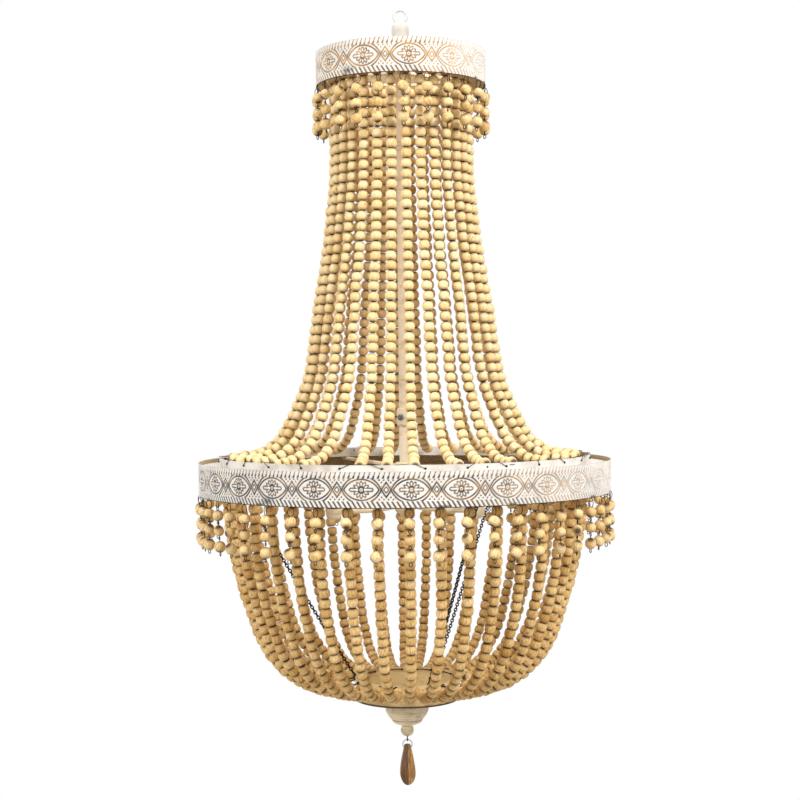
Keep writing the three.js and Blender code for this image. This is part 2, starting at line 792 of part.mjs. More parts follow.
/** Faceted wooden drop, bored across near its top for the split ring. */
function drop() {
  const holeZ = dropHoleZ();
  const topZ = holeZ + dropHoleDepth;
  const body = turnedPiece(dropShares, dropRadius, topZ, dropHeight, dropSides, dropTurn);
  const reach = dropRadius + overrun;
  const bore = rod([
    new THREE.Vector3(-reach, 0, holeZ), new THREE.Vector3(reach, 0, holeZ),
  ], dropHoleRadius, smallSegments);
  return body.subtract(bore);
}

/** Height of the drop's hole, where the split ring's lowest part curves through it. */
function dropHoleZ() {
  const half = dropRadius * dropShares[0][0];
  const rise = splitRingRadius - Math.sqrt(Math.max(0, splitRingRadius ** 2 - half ** 2));
  return splitRingZ - splitRingRadius + rise / 2;
}

/** A named mesh of one finish from a finished solid. */
function mesh(name, finish, piece) {
  const { vertProperties, triVerts } = piece.getMesh();
  const shape = new THREE.BufferGeometry();
  shape.setAttribute("position", new THREE.BufferAttribute(new Float32Array(vertProperties), 3));
  shape.setIndex(Array.from(triVerts));
  shape.computeVertexNormals();
  const made = new THREE.Mesh(shape, new THREE.MeshStandardMaterial(finishes[finish]));
  made.name = name;
  return made;
}

/** Two-figure number for a name. */
function numbered(i) {
  return String(i + 1).padStart(2, "0");
}

const stemTopZ = capTopZ - capCrown - clearance;
const stemFootZ = armHubTopZ - armHubBoreDepth + clearance;

/** The top band's plain hoop. */
function topBand() {
  return hoop(topBandInside, topBandRadius, topBandBottomZ, topBandTopZ, mediumSegments);
}

/** The wide band's plain hoop. */
function middleBand() {
  return hoop(bandInside, middleBandRadius, middleBandBottomZ, middleBandTopZ, largeSegments);
}

/** Fringe under the top band. */
function topFringe() {
  return fringe(topBandRadius - bandThickness / 2, topBandBottomZ, topFringeCount, topFringePhase);
}

/** Fringe under the wide band. */
function middleFringe() {
  const radius = middleBandRadius - bandThickness / 2;
  return fringe(radius, middleBandBottomZ, middleFringeCount, middleFringePhase);
}

const part = new THREE.Group();
part.name = "beaded_chandelier";
part.add(
  mesh("hanging_loop", "cream", hangingLoop()),
  mesh("top_frame", "cream", topFrame()),
  mesh("top_band", "cream", topBand()),
  mesh("top_fringe", "beads", topFringe()),
  mesh("stem_upper", "cream", stemTube(couplingZ + stemJointGap / 2, stemTopZ)),
  mesh("stem_coupling", "cream", coupling()),
  mesh("set_screw", "steel", setScrew()),
  mesh("stem_lower", "cream", stemTube(stemFootZ, couplingZ - stemJointGap / 2)),
  mesh("collar_ring", "cream", collarRing()),
  mesh("middle_band", "cream", middleBand()),
  mesh("lower_ring", "cream", lowerRing()),
  mesh("middle_fringe", "beads", middleFringe()),
  mesh("spider", "cream", spider()),
  mesh("arm_hub", "cream", armHub()),
  mesh("bowl", "cream", bowl()),
  mesh("finial_dome", "cream", finialDome()),
  mesh("finial_ball", "cream", finialBall()),
  mesh("drop_hook", "bronze", dropHook()),
  mesh("split_ring", "steel", splitRing()),
  mesh("drop", "drop", drop()),
);
spread(armCount, armAngle).forEach((degrees, i) => {
  part.add(mesh(`cup_${i + 1}`, "cream", cup(degrees)));
  part.add(mesh(`sleeve_${i + 1}`, "candle", candleSleeve(degrees)));
});
for (let i = 0; i < chainCount; i += 1) {
  part.add(mesh(`chain_${i + 1}`, "bronze", chain(i)));
}
for (let i = 0; i < upperCount / 2; i += 1) {
  part.add(mesh(`upper_strands_${numbered(i)}`, "beads", upperPair(i)));
}
for (let i = 0; i < lowerCount / 4; i += 1) {
  part.add(mesh(`lower_strands_${numbered(i)}`, "beads", lowerGroup(i)));
}

export default part;
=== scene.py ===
"""Beaded basket chandelier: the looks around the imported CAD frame. Lengths in functions are millimetres."""

import math

import bpy
import numpy as np
from bpy.props import FloatProperty, FloatVectorProperty, IntProperty, PointerProperty
from mathutils import Matrix


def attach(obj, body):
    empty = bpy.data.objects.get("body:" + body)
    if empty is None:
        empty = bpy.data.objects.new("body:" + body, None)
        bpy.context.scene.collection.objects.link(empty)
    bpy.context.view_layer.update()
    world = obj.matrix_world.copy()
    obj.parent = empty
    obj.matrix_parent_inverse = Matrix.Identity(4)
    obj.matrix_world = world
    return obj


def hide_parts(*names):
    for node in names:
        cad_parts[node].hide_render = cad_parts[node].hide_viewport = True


bl_info = {
    "name": "Beaded chandelier",
    "version": (1, 0, 0),
    "blender": (4, 5, 0),
    "location": "View3D > Sidebar > Chandelier",
    "description": "Builds a beaded basket chandelier with stamped bands around its CAD frame",
    "category": "Add Mesh",
}

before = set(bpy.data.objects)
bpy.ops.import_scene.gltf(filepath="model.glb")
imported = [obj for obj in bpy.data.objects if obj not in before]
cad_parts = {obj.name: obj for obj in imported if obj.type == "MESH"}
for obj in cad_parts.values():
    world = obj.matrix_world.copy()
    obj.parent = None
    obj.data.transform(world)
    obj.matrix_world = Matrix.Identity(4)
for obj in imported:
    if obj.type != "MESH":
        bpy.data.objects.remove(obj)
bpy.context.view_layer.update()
METRE = 1000.0
FULL_TURN = 2 * math.pi
RNG_SEED = 41

# Ring heights are counted from the wide band's bottom edge, and distances from the stem's axis
EDGE = -581.7  # height of that edge in the shared frame
TOP_BAND = 492.4  # bottom edge of the top band
UPPER_TOP = (82, 505)  # distance and ring height at which the upper strands begin
UPPER_SPAN = (135, 461.6)  # how far they run outward, and how far they fall
COLLAR_HOLES = 41.0  # middle of the collar's holes
BOWL_HOLES = -235.7  # middle of the bowl's holes
ARM_REACH = 100  # distance of the candles
# Azimuths run from the front toward the right
UPPER_START = 3.7  # first upper strand, in degrees
LOWER_START = 1.1  # first lower strand, in degrees
WIDE_EYE = 0.0283  # an eye of the wide band's border, in radians
TOP_EYE = 0.0931  # an eye of the top band's border, in radians
CHAIN_TURNS = np.radians([23.7, 143.7, 263.7])

# Course of an upper strand: share of its run outward, share of its fall
UPPER_COURSE = np.array([
    (0, 0), (0, 0.139), (0.007, 0.27), (0.043, 0.362), (0.081, 0.455), (0.162, 0.587), (0.229, 0.72),
    (0.273, 0.787), (0.359, 0.854), (0.499, 0.934), (0.578, 0.961), (0.701, 0.986), (0.837, 0.998), (1, 1),
])
# Course of a lower strand: distance from the axis and ring height
LOWER_COURSE = np.array([
    (219.5, -3.4), (216.8, -40), (209.9, -83.6), (205.4, -103), (201, -121.5), (195, -140), (188.6, -159.5),
    (182.4, -177.5), (172, -197), (159, -213), (150, -221.5), (138, -230), (120, -237), (103, -240.5),
    (90, -241.3), (80, -239.8), (72.3, -236.5),
])
# How far each upper strand's lower end drifts round the collar, in strand spacings
UPPER_DRIFTS = np.array([
    -0.05, 0.06, -0.2, -0.44, -0.12, 0.08, 0.02, -0.1, 0.14, 0.05, -0.08, 0.1, -0.04, 0.12, -0.06,
    0.09, -0.12, 0.04, 0.1, -0.07, 0.03, -0.1, 0.08, 0.05, -0.03, 0.06, 0.02, -0.04, 0.58, 0.26,
])
# How far each lower strand drifts round the basket on its way down, in degrees, from strand -9 to strand 9
LOWER_DRIFTS = [
    -0.5, -1.0, -1.8, -2.6, -1.6, -1.0, -1.1, -0.5, -0.3, 0.5, 1.4, 1.2, 1.5, 2.1, 2.8, 2.7, 1.8, 1.0, 0.5,
]
# How far the wide fringe's danglers left of the front stand aside, in degrees, from dangler -1 leftward
FRINGE_DRIFTS = [-0.6, -1.4, -2.3, -2.1, -3.1, -3.8, -3.7, -3.0, -2.1, -1.2, -0.5]
# Where the front holes' wires cross the collar's rim, in degrees beside the hole
RIM_LEANS = {0: -2.7, 1: 2.1, 2: -2.3, -1: -3.2, -2: 2.9, -3: -0.7}
# Makes of bead: power of the outline, usual tone, how strongly the grain shows
UPPER_MAKE = (2.4, 0.74, 0.45)
# The lower strands' darker usual tone is painted shade under the wide band
LOWER_MAKE = (3.1, 0.47, 1.0)
FRINGE_MAKE = (2.3, 0.66, 0.75)


def linear(code):
    """Linear colour of an sRGB hex code: each channel over 12.92 when small, else a 2.4 power."""
    parts = [int(code[i:i + 2], 16) / 255 for i in (1, 3, 5)]
    return tuple(v / 12.92 if v <= 0.04045 else ((v + 0.055) / 1.055) ** 2.4 for v in parts)


def length(name, description, default):
    """A length property, given in millimetres."""
    return FloatProperty(name=name, description=description, default=default / METRE, min=0, unit="LENGTH")


def colour(name, description, code):
    """A colour property, given as an sRGB hex code."""
    return FloatVectorProperty(name=name, description=description, default=linear(code), subtype="COLOR",
                               size=3, min=0, max=1)


def amount(name, description, default, least=0):
    """A property without a unit: a count where its default is whole, else a factor."""
    kind = IntProperty if isinstance(default, int) else FloatProperty
    return kind(name=name, description=description, default=default, min=least)


class BeadSettings(bpy.types.PropertyGroup):
    """Wooden beads, their wire and their fringe."""

    diameter: length("Bead diameter", "Widest part of a strand's bead", 13.4)
    upper_pitch: length("Upper pitch", "Bead spacing on the upper strands", 12.1)
    lower_pitch: length("Lower pitch", "Bead spacing on the lower strands", 11.7)
    wire: length("Wire thickness", "Diameter of the stringing wire", 1.1)
    upper_count: amount("Upper strands", "Strands above the wide band", 30, 2)
    lower_count: amount("Lower strands", "Strands of the basket", 40, 4)
    light: colour("Light wood", "Limewashed face of a bead", "#fff1d0")
    middle: colour("Middle wood", "Sapwood between the grain lines", "#efd29a")
    dark: colour("Dark wood", "Bare grain of a bead", "#b99148")
    # The bored-ends colour is painted shade, laid over each bead's ends where it meets the next
    seam: colour("Bored ends", "End grain round a bead's hole", "#50300f")


class BandSettings(bpy.types.PropertyGroup):
    """Stamped iron bands."""

    wide_radius: length("Wide band radius", "Outside of the wide band", 254)
    small_radius: length("Top band radius", "Outside of the top band", 103.1)
    height: length("Band height", "Height of both bands", 39.4)
    pitch: length("Motif pitch", "Length of one stamped motif", 55.03)
    relief: length("Relief", "Depth of the stamped lines", 0.5)
    wash: colour("Whitewash", "Paint on the raised metal", "#ece8e2")
    recess: colour("Recess", "Dark metal in the stamped lines", "#2c2119")
    gold: colour("Gold recess", "Yellow-brown metal in the stamped lines", "#b08340")


class HardwareSettings(bpy.types.PropertyGroup):
    """Painted stem, bowl, arms and finial, and the bare metal parts."""

    stem_radius: length("Stem radius", "Outside of the stem", 6.2)
    bowl_radius: length("Bowl radius", "Outside of the bowl", 64.5)
    paint: colour("Cream paint", "Paint of coupling, arms, rings and finial", "#f8e8ca")
    rubbed: colour("Rubbed metal", "Where the paint is rubbed thin", "#b18d5c")
    bowl_paint: colour("Bowl paint", "Warmer paint of the bowl", "#f0d49c")
    bowl_rubbed: colour("Rubbed bowl", "Where the bowl's paint is rubbed thin", "#b98f55")
    wire: colour("Wire", "Annealed iron wire", "#2b221c")
    chain: colour("Chain", "Aged bronze", "#2c2017")
    drop: colour("Drop", "Oiled brown wood", "#9d7138")


class StageSettings(bpy.types.PropertyGroup):
    """Camera, lamps and floor."""

    distance: length("Camera distance", "Camera from the stem's axis", 1956.46)
    height: length("Camera height", "Camera above the wide band's bottom edge", 142.52)
    floor: length("Floor depth", "Floor below the hanging loop", 2300)
    above: amount("Light above", "World's strength overhead", 0.64)
    below: amount("Light below", "World's strength from below", 0.2)


def settings(name):
    """The scene's property group of that name."""
    return getattr(bpy.context.scene, "chandelier_" + name)


def mm(group, name):
    """A length from a property group, in millimetres."""
    return getattr(settings(group), name) * METRE


# Arrays


def unit(rows):
    """Rows of vectors over their own lengths."""
    return rows / np.maximum(np.linalg.norm(rows, axis=-1, keepdims=True), 1e-12)


def outward(turns):
    """Level unit vectors away from the axis at azimuths in radians from the front: sine, minus cosine."""
    return np.stack([np.sin(turns), -np.cos(turns), 0 * turns], axis=-1)


def sideways(turns):
    """Level unit vectors round the axis at azimuths: cosine, sine."""
    return np.stack([np.cos(turns), np.sin(turns), 0 * turns], axis=-1)


def polar(radius, turn, height):
    """Points from distance to the axis, azimuth and ring height."""
    radius, turn, height = np.broadcast_arrays(radius, turn, height)
    return np.stack([radius * np.sin(turn), -radius * np.cos(turn), height + EDGE], axis=-1)


def routes(turns, stations):
    """One path at each azimuth, through stations given as distance and ring height."""
    return np.stack([polar(radius, turns, height) for radius, height in stations], axis=1)


def travelled(line):
    """Distance gone at each point of a line: the sum of the steps so far."""
    return np.concatenate([[0], np.cumsum(np.linalg.norm(np.diff(line, axis=0), axis=1))])


def points_at(steps, line):
    """Points at the given distances along a line, straight between its own points."""
    gone = travelled(line)
    return np.stack([np.interp(steps, gone, line[:, k]) for k in range(line.shape[1])], axis=1)


def smooth_line(points, count):
    """A curve through points at equal steps: a cubic whose slope at a point is half its neighbours' gap."""
    points = np.asarray(points, float)
    ends = np.vstack([2 * points[0] - points[1], points, 2 * points[-1] - points[-2]])
    t = np.linspace(0, len(points) - 1, 40 * len(points))
    i = np.minimum(t.astype(int), len(points) - 2)
    f = (t - i)[:, None]
    a, b, c, d = ends[i], ends[i + 1], ends[i + 2], ends[i + 3]
    fine = 0.5 * (2 * b + (c - a) * f + (2 * a - 5 * b + 4 * c - d) * f**2 + (3 * b - a - 3 * c + d) * f**3)
    return points_at(np.linspace(0, travelled(fine)[-1], count), fine)


def grid_faces(rows, columns, close_rows=False, close_columns=True):
    """Four-cornered faces of a grid stored row by row."""
    i = np.arange(rows if close_rows else rows - 1)[:, None]
    j = np.arange(columns if close_columns else columns - 1)[None, :]
    next_i, next_j = (i + 1) % rows, (j + 1) % columns
    quads = [i * columns + j, i * columns + next_j, next_i * columns + next_j, next_i * columns + j]
    return np.stack([np.broadcast_to(q, (i.size, j.size)).ravel() for q in quads], axis=1)


def capped_faces(rows, columns):
    """Faces of a grid closed round its rows, with a flat face over its first and its last row."""
    first = np.arange(columns)
    caps = [first[::-1].tolist(), (first + (rows - 1) * columns).tolist()]
    return grid_faces(rows, columns).tolist() + caps


def lathe(outline, segments, loop=False):
    """A turned surface: each outline point is carried round the axis; a looped outline has no end faces."""
    outline = np.asarray(outline, float)
    turns = np.arange(segments) * FULL_TURN / segments
    points = polar(outline[:, :1], turns[None, :], outline[:, 1:]).reshape(-1, 3)
    if loop:
        return points, grid_faces(len(outline), segments, close_rows=True).tolist()
    return points, capped_faces(len(outline), segments)


def softened(outline, rounding, loop=False):
    """An outline whose corners are cut by a quadratic from just before each corner to just after it."""
    points = np.asarray(outline, float)
    before, after = np.roll(points, 1, axis=0), np.roll(points, -1, axis=0)
    reach = np.minimum(np.linalg.norm(before - points, axis=1), np.linalg.norm(after - points, axis=1)) * 0.45
    reach = np.minimum(reach, rounding)[:, None]
    start = points + unit(before - points) * reach
    end = points + unit(after - points) * reach
    rows = np.stack([start, 0.25 * start + 0.5 * points + 0.25 * end, end], axis=1)
    if loop:
        return rows.reshape(-1, 2)
    return np.vstack([points[:1], rows[1:-1].reshape(-1, 2), points[-1:]])


def turned_ring(inner, outer, low, high, rounding, segments):
    """A ring of four-sided section turned round the axis, its corners rounded unless rounding is nought."""
    outline = [(inner, low), (outer, low), (outer, high), (inner, high)]
    if rounding:
        outline = softened(outline, rounding, loop=True)
    return lathe(outline, segments, loop=True)


def tubes(paths, radius, sides=6, closed=False):
    """Round tubes along many paths of equal point count: a circle carried along each, kept from twisting."""
    paths = np.asarray(paths, float)
    if paths.ndim == 2:
        paths = paths[None]
    count, stations, _ = paths.shape
    ahead = np.roll(paths, -1, axis=1) - paths
    behind = paths - np.roll(paths, 1, axis=1)
    if not closed:
        ahead[:, -1] = behind[:, -1]
        behind[:, 0] = ahead[:, 0]
    ways = unit(unit(ahead) + unit(behind))
    across = np.empty_like(paths)
    side = np.where(np.abs(ways[:, 0, 2:]) > 0.9, [[1.0, 0, 0]], [[0, 0, 1.0]])
    for i in range(stations):
        side = unit(side - np.sum(side * ways[:, i], axis=1, keepdims=True) * ways[:, i])
        across[:, i] = side
    beside = np.cross(ways, across)
    turns = np.arange(sides) * FULL_TURN / sides
    radius = np.broadcast_to(np.asarray(radius, float), (stations,))[None, :, None, None]
    rings = paths[:, :, None] + radius * (np.cos(turns)[:, None] * across[:, :, None]
                                          + np.sin(turns)[:, None] * beside[:, :, None])
    one = grid_faces(stations, sides, close_rows=closed)
    faces = (one[None] + (np.arange(count) * stations * sides)[:, None, None]).reshape(-1, 4).tolist()
    if not closed:
        ends = np.arange(sides)
        for first in np.arange(count) * stations * sides:
            faces.append((first + ends[::-1]).tolist())
            faces.append((first + (stations - 1) * sides + ends).tolist())
    return rings.reshape(-1, 3), faces


def hoops(centres, first, second, radius, sides=6, steps=12):
    """Closed wire loops: centre, plus cosine times the first half-axis and sine times the second."""
    turns = np.arange(steps) * FULL_TURN / steps
    paths = [centres + first * math.cos(t) + second * math.sin(t) for t in turns]
    return tubes(np.stack(paths, axis=1), radius, sides, closed=True)


def repeated(points, faces, axes, places):
    """One shape at many places: its points times each place's three axes, plus the place."""
    moved = np.einsum("vi,kij->kvj", points, axes) + places[:, None, :]
    offsets = np.arange(len(places)) * len(points)
    made = []
    for width in sorted({len(face) for face in faces}):
        same = np.array([face for face in faces if len(face) == width])
        made += (same[None] + offsets[:, None, None]).reshape(-1, width).tolist()
    return moved.reshape(-1, 3), made


def joined(shapes):
    """Several shapes as one list of points and one of faces."""
    points, faces, start = [], [], 0
    for more, quads in shapes:
        points.append(more)
        faces += [[i + start for i in face] for face in quads]
        start += len(more)
    return np.vstack(points), faces


def near(points, height, reach):
    """One at points of that ring height, falling off as a bell curve of that reach above and below it."""
    return np.exp(-((points[:, 2] - EDGE - height) / reach) ** 2)


def mesh_of(name, shape):
    """A mesh from points in millimetres and faces."""
    points, faces = shape
    mesh = bpy.data.meshes.new(name)
    mesh.from_pydata((points / METRE).tolist(), [], faces)
    return mesh


def placed(name, data):
    """A new object in the scene with that data."""
    made = bpy.data.objects.new(name, data)
    bpy.context.scene.collection.objects.link(made)
    return made


def put(name, shape, finish, body="frame", replaces=(), attributes=None, sharp=None):
    """Makes the named piece from its shape, with its finish, its body and the nodes it stands for."""
    mesh = mesh_of(name, shape)
    for key, values in (attributes or {}).items():
        wide = np.asarray(values).ndim == 2
        layer = mesh.attributes.new(key, "FLOAT_VECTOR" if wide else "FLOAT", "POINT")
        layer.data.foreach_set("vector" if wide else "value", np.asarray(values, np.float32).ravel())
    mesh.polygons.foreach_set("use_smooth", np.ones(len(mesh.polygons), bool))
    if sharp is not None:
        mesh.set_sharp_from_angle(angle=math.radians(sharp))
    mesh.update()
    piece = placed(name, mesh)
    mesh.materials.append(finish)
    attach(piece, body)
    if replaces:
        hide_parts(*replaces)
    return piece


# Finishes


def feed(node, inputs):
    """Fills a node's inputs: numbers and hex colours are set, sockets and nodes are linked.

    A node gives its first output, but an Attribute its number and a Mix its colour, which both come third.
    A Mix of colours takes its share at 0 and its two colours at 6 and 7.
    """
    for key, value in inputs.items():
        if isinstance(value, bpy.types.Node):
            third = value.bl_idname in ("ShaderNodeAttribute", "ShaderNodeMix")
            value = value.outputs[2 if third else 0]
        if isinstance(value, bpy.types.NodeSocket):
            node.id_data.links.new(value, node.inputs[key])
        else:
            node.inputs[key].default_value = (*linear(value), 1) if isinstance(value, str) else value


def add(tree, kind, inputs=None, stops=(), **values):
    """Adds a shader node with its own values, its inputs, and the places and colours of its ramp."""
    made = tree.nodes.new("ShaderNode" + kind)
    for key, value in values.items():
        setattr(made, key, value)
    feed(made, inputs or {})
    for i, (place, code) in enumerate(stops):
        ramp = made.color_ramp.elements
        stop = ramp[i] if i < 2 else ramp.new(place)
        stop.position = place
        stop.color = (*(linear(code) if isinstance(code, str) else code), 1)
    return made


def finish_named(name, roughness, metallic=0.0):
    """The finish of that name; a new one comes with its tree and shader, to be filled."""
    if name in bpy.data.materials:
        return bpy.data.materials[name], None, None
    made = bpy.data.materials.new(name)
    made.use_nodes = True
    shader = made.node_tree.nodes["Principled BSDF"]
    feed(shader, {"Roughness": roughness, "Metallic": metallic})
    return made, made.node_tree, shader


def bead_wood():
    """Schima wood turned into beads and limewashed: pale, matt, streaked along the bore, with painted shade
    at its ends where beads meet.
    """
    made, tree, shader = finish_named("limewashed_schima_wood", 0.6)
    if tree is None:
        return made
    beads = settings("beads")
    place = add(tree, "Attribute", attribute_name="grain_place").outputs["Vector"]
    # Grain lines about 1.6 mm apart, drawn out along the bead's hole
    drawn = add(tree, "Mapping", {"Vector": place, "Scale": (1, 1, 0.16)})
    grain = add(tree, "TexNoise", {"Vector": drawn, "Scale": 0.62, "Detail": 3, "Roughness": 0.62})
    wood = add(tree, "ValToRGB", {"Fac": grain},
               [(0.30, beads.dark), (0.60, beads.light), (0.45, beads.middle)])
    even = (*(0.6 * a + 0.4 * b for a, b in zip(beads.light, beads.middle)), 1)
    streaks = add(tree, "Attribute", attribute_name="streaks")
    streaked = add(tree, "Mix", {0: streaks, 6: even, 7: wood}, data_type="RGBA")
    tone = add(tree, "Attribute", attribute_name="tone")
    warm = add(tree, "ValToRGB", {"Fac": tone},
               [(0.0, "#ad8049"), (1.0, "#fffef6"), (0.25, "#d3b57c"), (0.6, "#f8e8c8")])
    toned = add(tree, "Mix", {0: 1.0, 6: streaked, 7: warm}, data_type="RGBA", blend_type="MULTIPLY")
    # Brown flecks about 7 mm across, here and there
    patch = add(tree, "TexNoise", {"Vector": place, "Scale": 0.15, "Detail": 2})
    fleck = add(tree, "ValToRGB", {"Fac": patch}, [(0.66, "#ffffff"), (0.78, "#9a6d3a")])
    flecked = add(tree, "Mix", {0: 0.7, 6: toned, 7: fleck}, data_type="RGBA", blend_type="MULTIPLY")
    # Painted shade: each bead darkens toward its ends, where it meets the next
    ends = add(tree, "Attribute", attribute_name="seam")
    result = add(tree, "Mix", {0: ends, 6: flecked, 7: (*beads.seam, 1)}, data_type="RGBA")
    relief = add(tree, "Bump", {"Strength": 0.25, "Distance": 0.0002, "Height": grain})
    feed(shader, {"Base Color": result, "Normal": relief})
    return made


def stamped_iron():
    """Thin iron sheet stamped, whitewashed and rubbed back: chalky faces, brown and gold recesses, painted
    shade on the inner face.
    """
    made, tree, shader = finish_named("whitewashed_stamped_iron", 0.6)
    if tree is None:
        return made
    bands = settings("bands")
    place = add(tree, "TexCoord").outputs["Object"]
    # Clouds about 40 mm across in the wash, specks about 2 mm
    cloud = add(tree, "TexNoise", {"Vector": place, "Scale": 26, "Detail": 3})
    speck = add(tree, "TexNoise", {"Vector": place, "Scale": 420, "Detail": 2})
    wash = add(tree, "ValToRGB", {"Fac": cloud}, [(0.3, "#dfdad4"), (0.62, bands.wash)])
    specks = add(tree, "ValToRGB", {"Fac": speck}, [(0.60, "#ffffff"), (0.75, "#b39d80")])
    face = add(tree, "Mix", {0: 0.7, 6: wash, 7: specks}, data_type="RGBA", blend_type="MULTIPLY")
    # Painted shade: the band's inner face is darkened to a grey-brown
    inside = add(tree, "Attribute", attribute_name="inside")
    inside_shaded = add(tree, "Mix", {0: inside, 6: face, 7: "#a8926e"}, data_type="RGBA")
    brown = add(tree, "ValToRGB", {"Fac": cloud}, [(0.36, "#1c1510"), (0.68, "#5c4830"), (0.5, bands.recess)])
    yellow = add(tree, "ValToRGB", {"Fac": cloud}, [(0.36, "#8a6430"), (0.68, "#cca460"), (0.5, bands.gold)])
    gold = add(tree, "Attribute", attribute_name="gold")
    bare = add(tree, "Mix", {0: gold, 6: brown, 7: yellow}, data_type="RGBA")
    ink = add(tree, "Attribute", attribute_name="ink")
    drawn = add(tree, "Mix", {0: ink, 6: inside_shaded, 7: bare}, data_type="RGBA")
    worn = add(tree, "Attribute", attribute_name="worn")
    dark = add(tree, "Mix", {0: worn, 6: drawn, 7: "#2a2320"}, data_type="RGBA")
    relief = add(tree, "Bump", {"Strength": 0.3, "Distance": 0.0002, "Height": speck})
    feed(shader, {"Base Color": dark, "Normal": relief})
    return made


def plain_iron():
    """The same whitewashed iron as the bands, without stamping: chalky, with faint grey clouds."""
    made, tree, shader = finish_named("whitewashed_plain_iron", 0.58)
    if tree is None:
        return made
    place = add(tree, "TexCoord").outputs["Object"]
    # Clouds about 25 mm across
    cloud = add(tree, "TexNoise", {"Vector": place, "Scale": 40, "Detail": 4})
    wash = add(tree, "ValToRGB", {"Fac": cloud}, [(0.32, "#bdb5a8"), (0.62, "#dedbd6"), (0.45, "#d2cdc5")])
    relief = add(tree, "Bump", {"Strength": 0.2, "Distance": 0.0002, "Height": cloud})
    feed(shader, {"Base Color": wash, "Normal": relief})
    return made


def rubbed_paint(name, paint, rubbed):
    """Cast and spun iron, painted and rubbed back in level streaks: chalky, with brown showing through."""
    made, tree, shader = finish_named(name, 0.58)
    if tree is None:
        return made
    place = add(tree, "TexCoord").outputs["Object"]
    # Streaks lie level, about 12 mm long and 3 mm high, stronger in clouds of 33 mm; the relief is 2 mm fine
    level = add(tree, "Mapping", {"Vector": place, "Scale": (1, 1, 4)})
    streak = add(tree, "TexNoise", {"Vector": level, "Scale": 85, "Detail": 4, "Roughness": 0.65})
    cloud = add(tree, "TexNoise", {"Vector": place, "Scale": 30, "Detail": 3})
    fine = add(tree, "TexNoise", {"Vector": place, "Scale": 500, "Detail": 2})
    both = add(tree, "Math", {0: streak, 1: cloud}, operation="MULTIPLY")
    middle = [0.45 * a + 0.55 * b for a, b in zip(rubbed, paint)]
    ramp = add(tree, "ValToRGB", {"Fac": both}, [(0.10, rubbed), (0.24, paint), (0.16, middle)])
    bare = add(tree, "Attribute", attribute_name="bare")
    shown = add(tree, "Mix", {0: bare, 6: ramp, 7: "#3a2a1d"}, data_type="RGBA")
    relief = add(tree, "Bump", {"Strength": 0.3, "Distance": 0.0003, "Height": fine})
    feed(shader, {"Base Color": shown, "Normal": relief})
    return made


def cream_paint():
    """Cream paint of the coupling, the arms and the rings."""
    hardware = settings("hardware")
    return rubbed_paint("rubbed_cream_paint", hardware.paint, hardware.rubbed)


def plain_metal(name, tint, roughness, scale):
    """Bare metal whose tint wavers with a noise of so many waves in a metre."""
    made, tree, shader = finish_named(name, roughness, 1.0)
    if tree is None:
        return made
    place = add(tree, "TexCoord").outputs["Object"]
    mottle = add(tree, "TexNoise", {"Vector": place, "Scale": scale, "Detail": 3})
    pale = [min(1, v * 1.8 + 0.02) for v in tint]
    shade = add(tree, "ValToRGB", {"Fac": mottle}, [(0.35, tint), (0.75, pale)])
    feed(shader, {"Base Color": shade})
    return made


def black_wire():
    """Annealed iron wire: near black with a dull gleam."""
    return plain_metal("annealed_iron_wire", settings("hardware").wire, 0.5, 300)


def bright_steel():
    """Bright drawn steel of the split ring and the screw."""
    return plain_metal("bright_drawn_steel", linear("#606264"), 0.28, 200)


def drop_wood():
    """Oiled acacia, cut in flat facets: brown with long straight grain, a low sheen and painted shade on the
    facets.
    """
    made, tree, shader = finish_named("oiled_acacia_wood", 0.52)
    if tree is None:
        return made
    place = add(tree, "TexCoord").outputs["Object"]
    # Grain lines about 2 mm apart run down the drop
    drawn = add(tree, "Mapping", {"Vector": place, "Scale": (1, 1, 0.03)})
    grain = add(tree, "TexNoise", {"Vector": drawn, "Scale": 480, "Detail": 5, "Roughness": 0.6})
    wood = add(tree, "ValToRGB", {"Fac": grain},
               [(0.34, "#5c3d1a"), (0.66, "#cf9f5c"), (0.5, settings("hardware").drop)])
    # Painted shade: each facet darkens by its own share, most at the front left and least at the front right
    facet = add(tree, "Attribute", attribute_name="facet")
    facet_shading = add(tree, "ValToRGB", {"Fac": facet}, [(0.0, "#8d7650"), (1.0, "#ffffff")])
    cut = add(tree, "Mix", {0: 1.0, 6: wood, 7: facet_shading}, data_type="RGBA", blend_type="MULTIPLY")
    relief = add(tree, "Bump", {"Strength": 0.2, "Distance": 0.0002, "Height": grain})
    feed(shader, {"Base Color": cut, "Normal": relief})
    return made


def ivory_sleeve():
    """Card candle sleeve painted ivory: even and matt, with faint drips."""
    made, tree, shader = finish_named("ivory_painted_card", 0.65)
    if tree is None:
        return made
    place = add(tree, "TexCoord").outputs["Object"]
    # Drips about 6 mm wide and 28 mm long
    drawn = add(tree, "Mapping", {"Vector": place, "Scale": (1, 1, 0.2)})
    drip = add(tree, "TexNoise", {"Vector": drawn, "Scale": 180, "Detail": 2})
    feed(shader, {"Base Color": add(tree, "ValToRGB", {"Fac": drip}, [(0.35, "#c9b48f"), (0.65, "#e0d0b2")])})
    return made


# Beads


def bead_shape(power):
    """One bead, one wide and one tall, and how much painted shade each point takes, most at its bored ends
    where beads meet.

    Its width falls with height as a superellipse of the given power, cut flat near both ends.
    """
    rises = np.array([-0.94, -0.78, -0.44, 0, 0.44, 0.78, 0.94])
    # Share of painted shade at each row of the bead, strongest at its ends
    seam_shades = np.array([0.97, 0.42, 0.04, 0, 0.04, 0.42, 0.97])
    sides = 10
    widths = (1 - np.abs(rises) ** power) ** (1 / power)
    turns = np.arange(sides) * FULL_TURN / sides
    points = np.stack([
        0.5 * widths[:, None] * np.cos(turns), 0.5 * widths[:, None] * np.sin(turns),
        np.broadcast_to(0.5 * rises[:, None] / rises[-1], (len(rises), sides)),
    ], axis=-1).reshape(-1, 3)
    return points, capped_faces(len(rises), sides), np.repeat(seam_shades, sides)


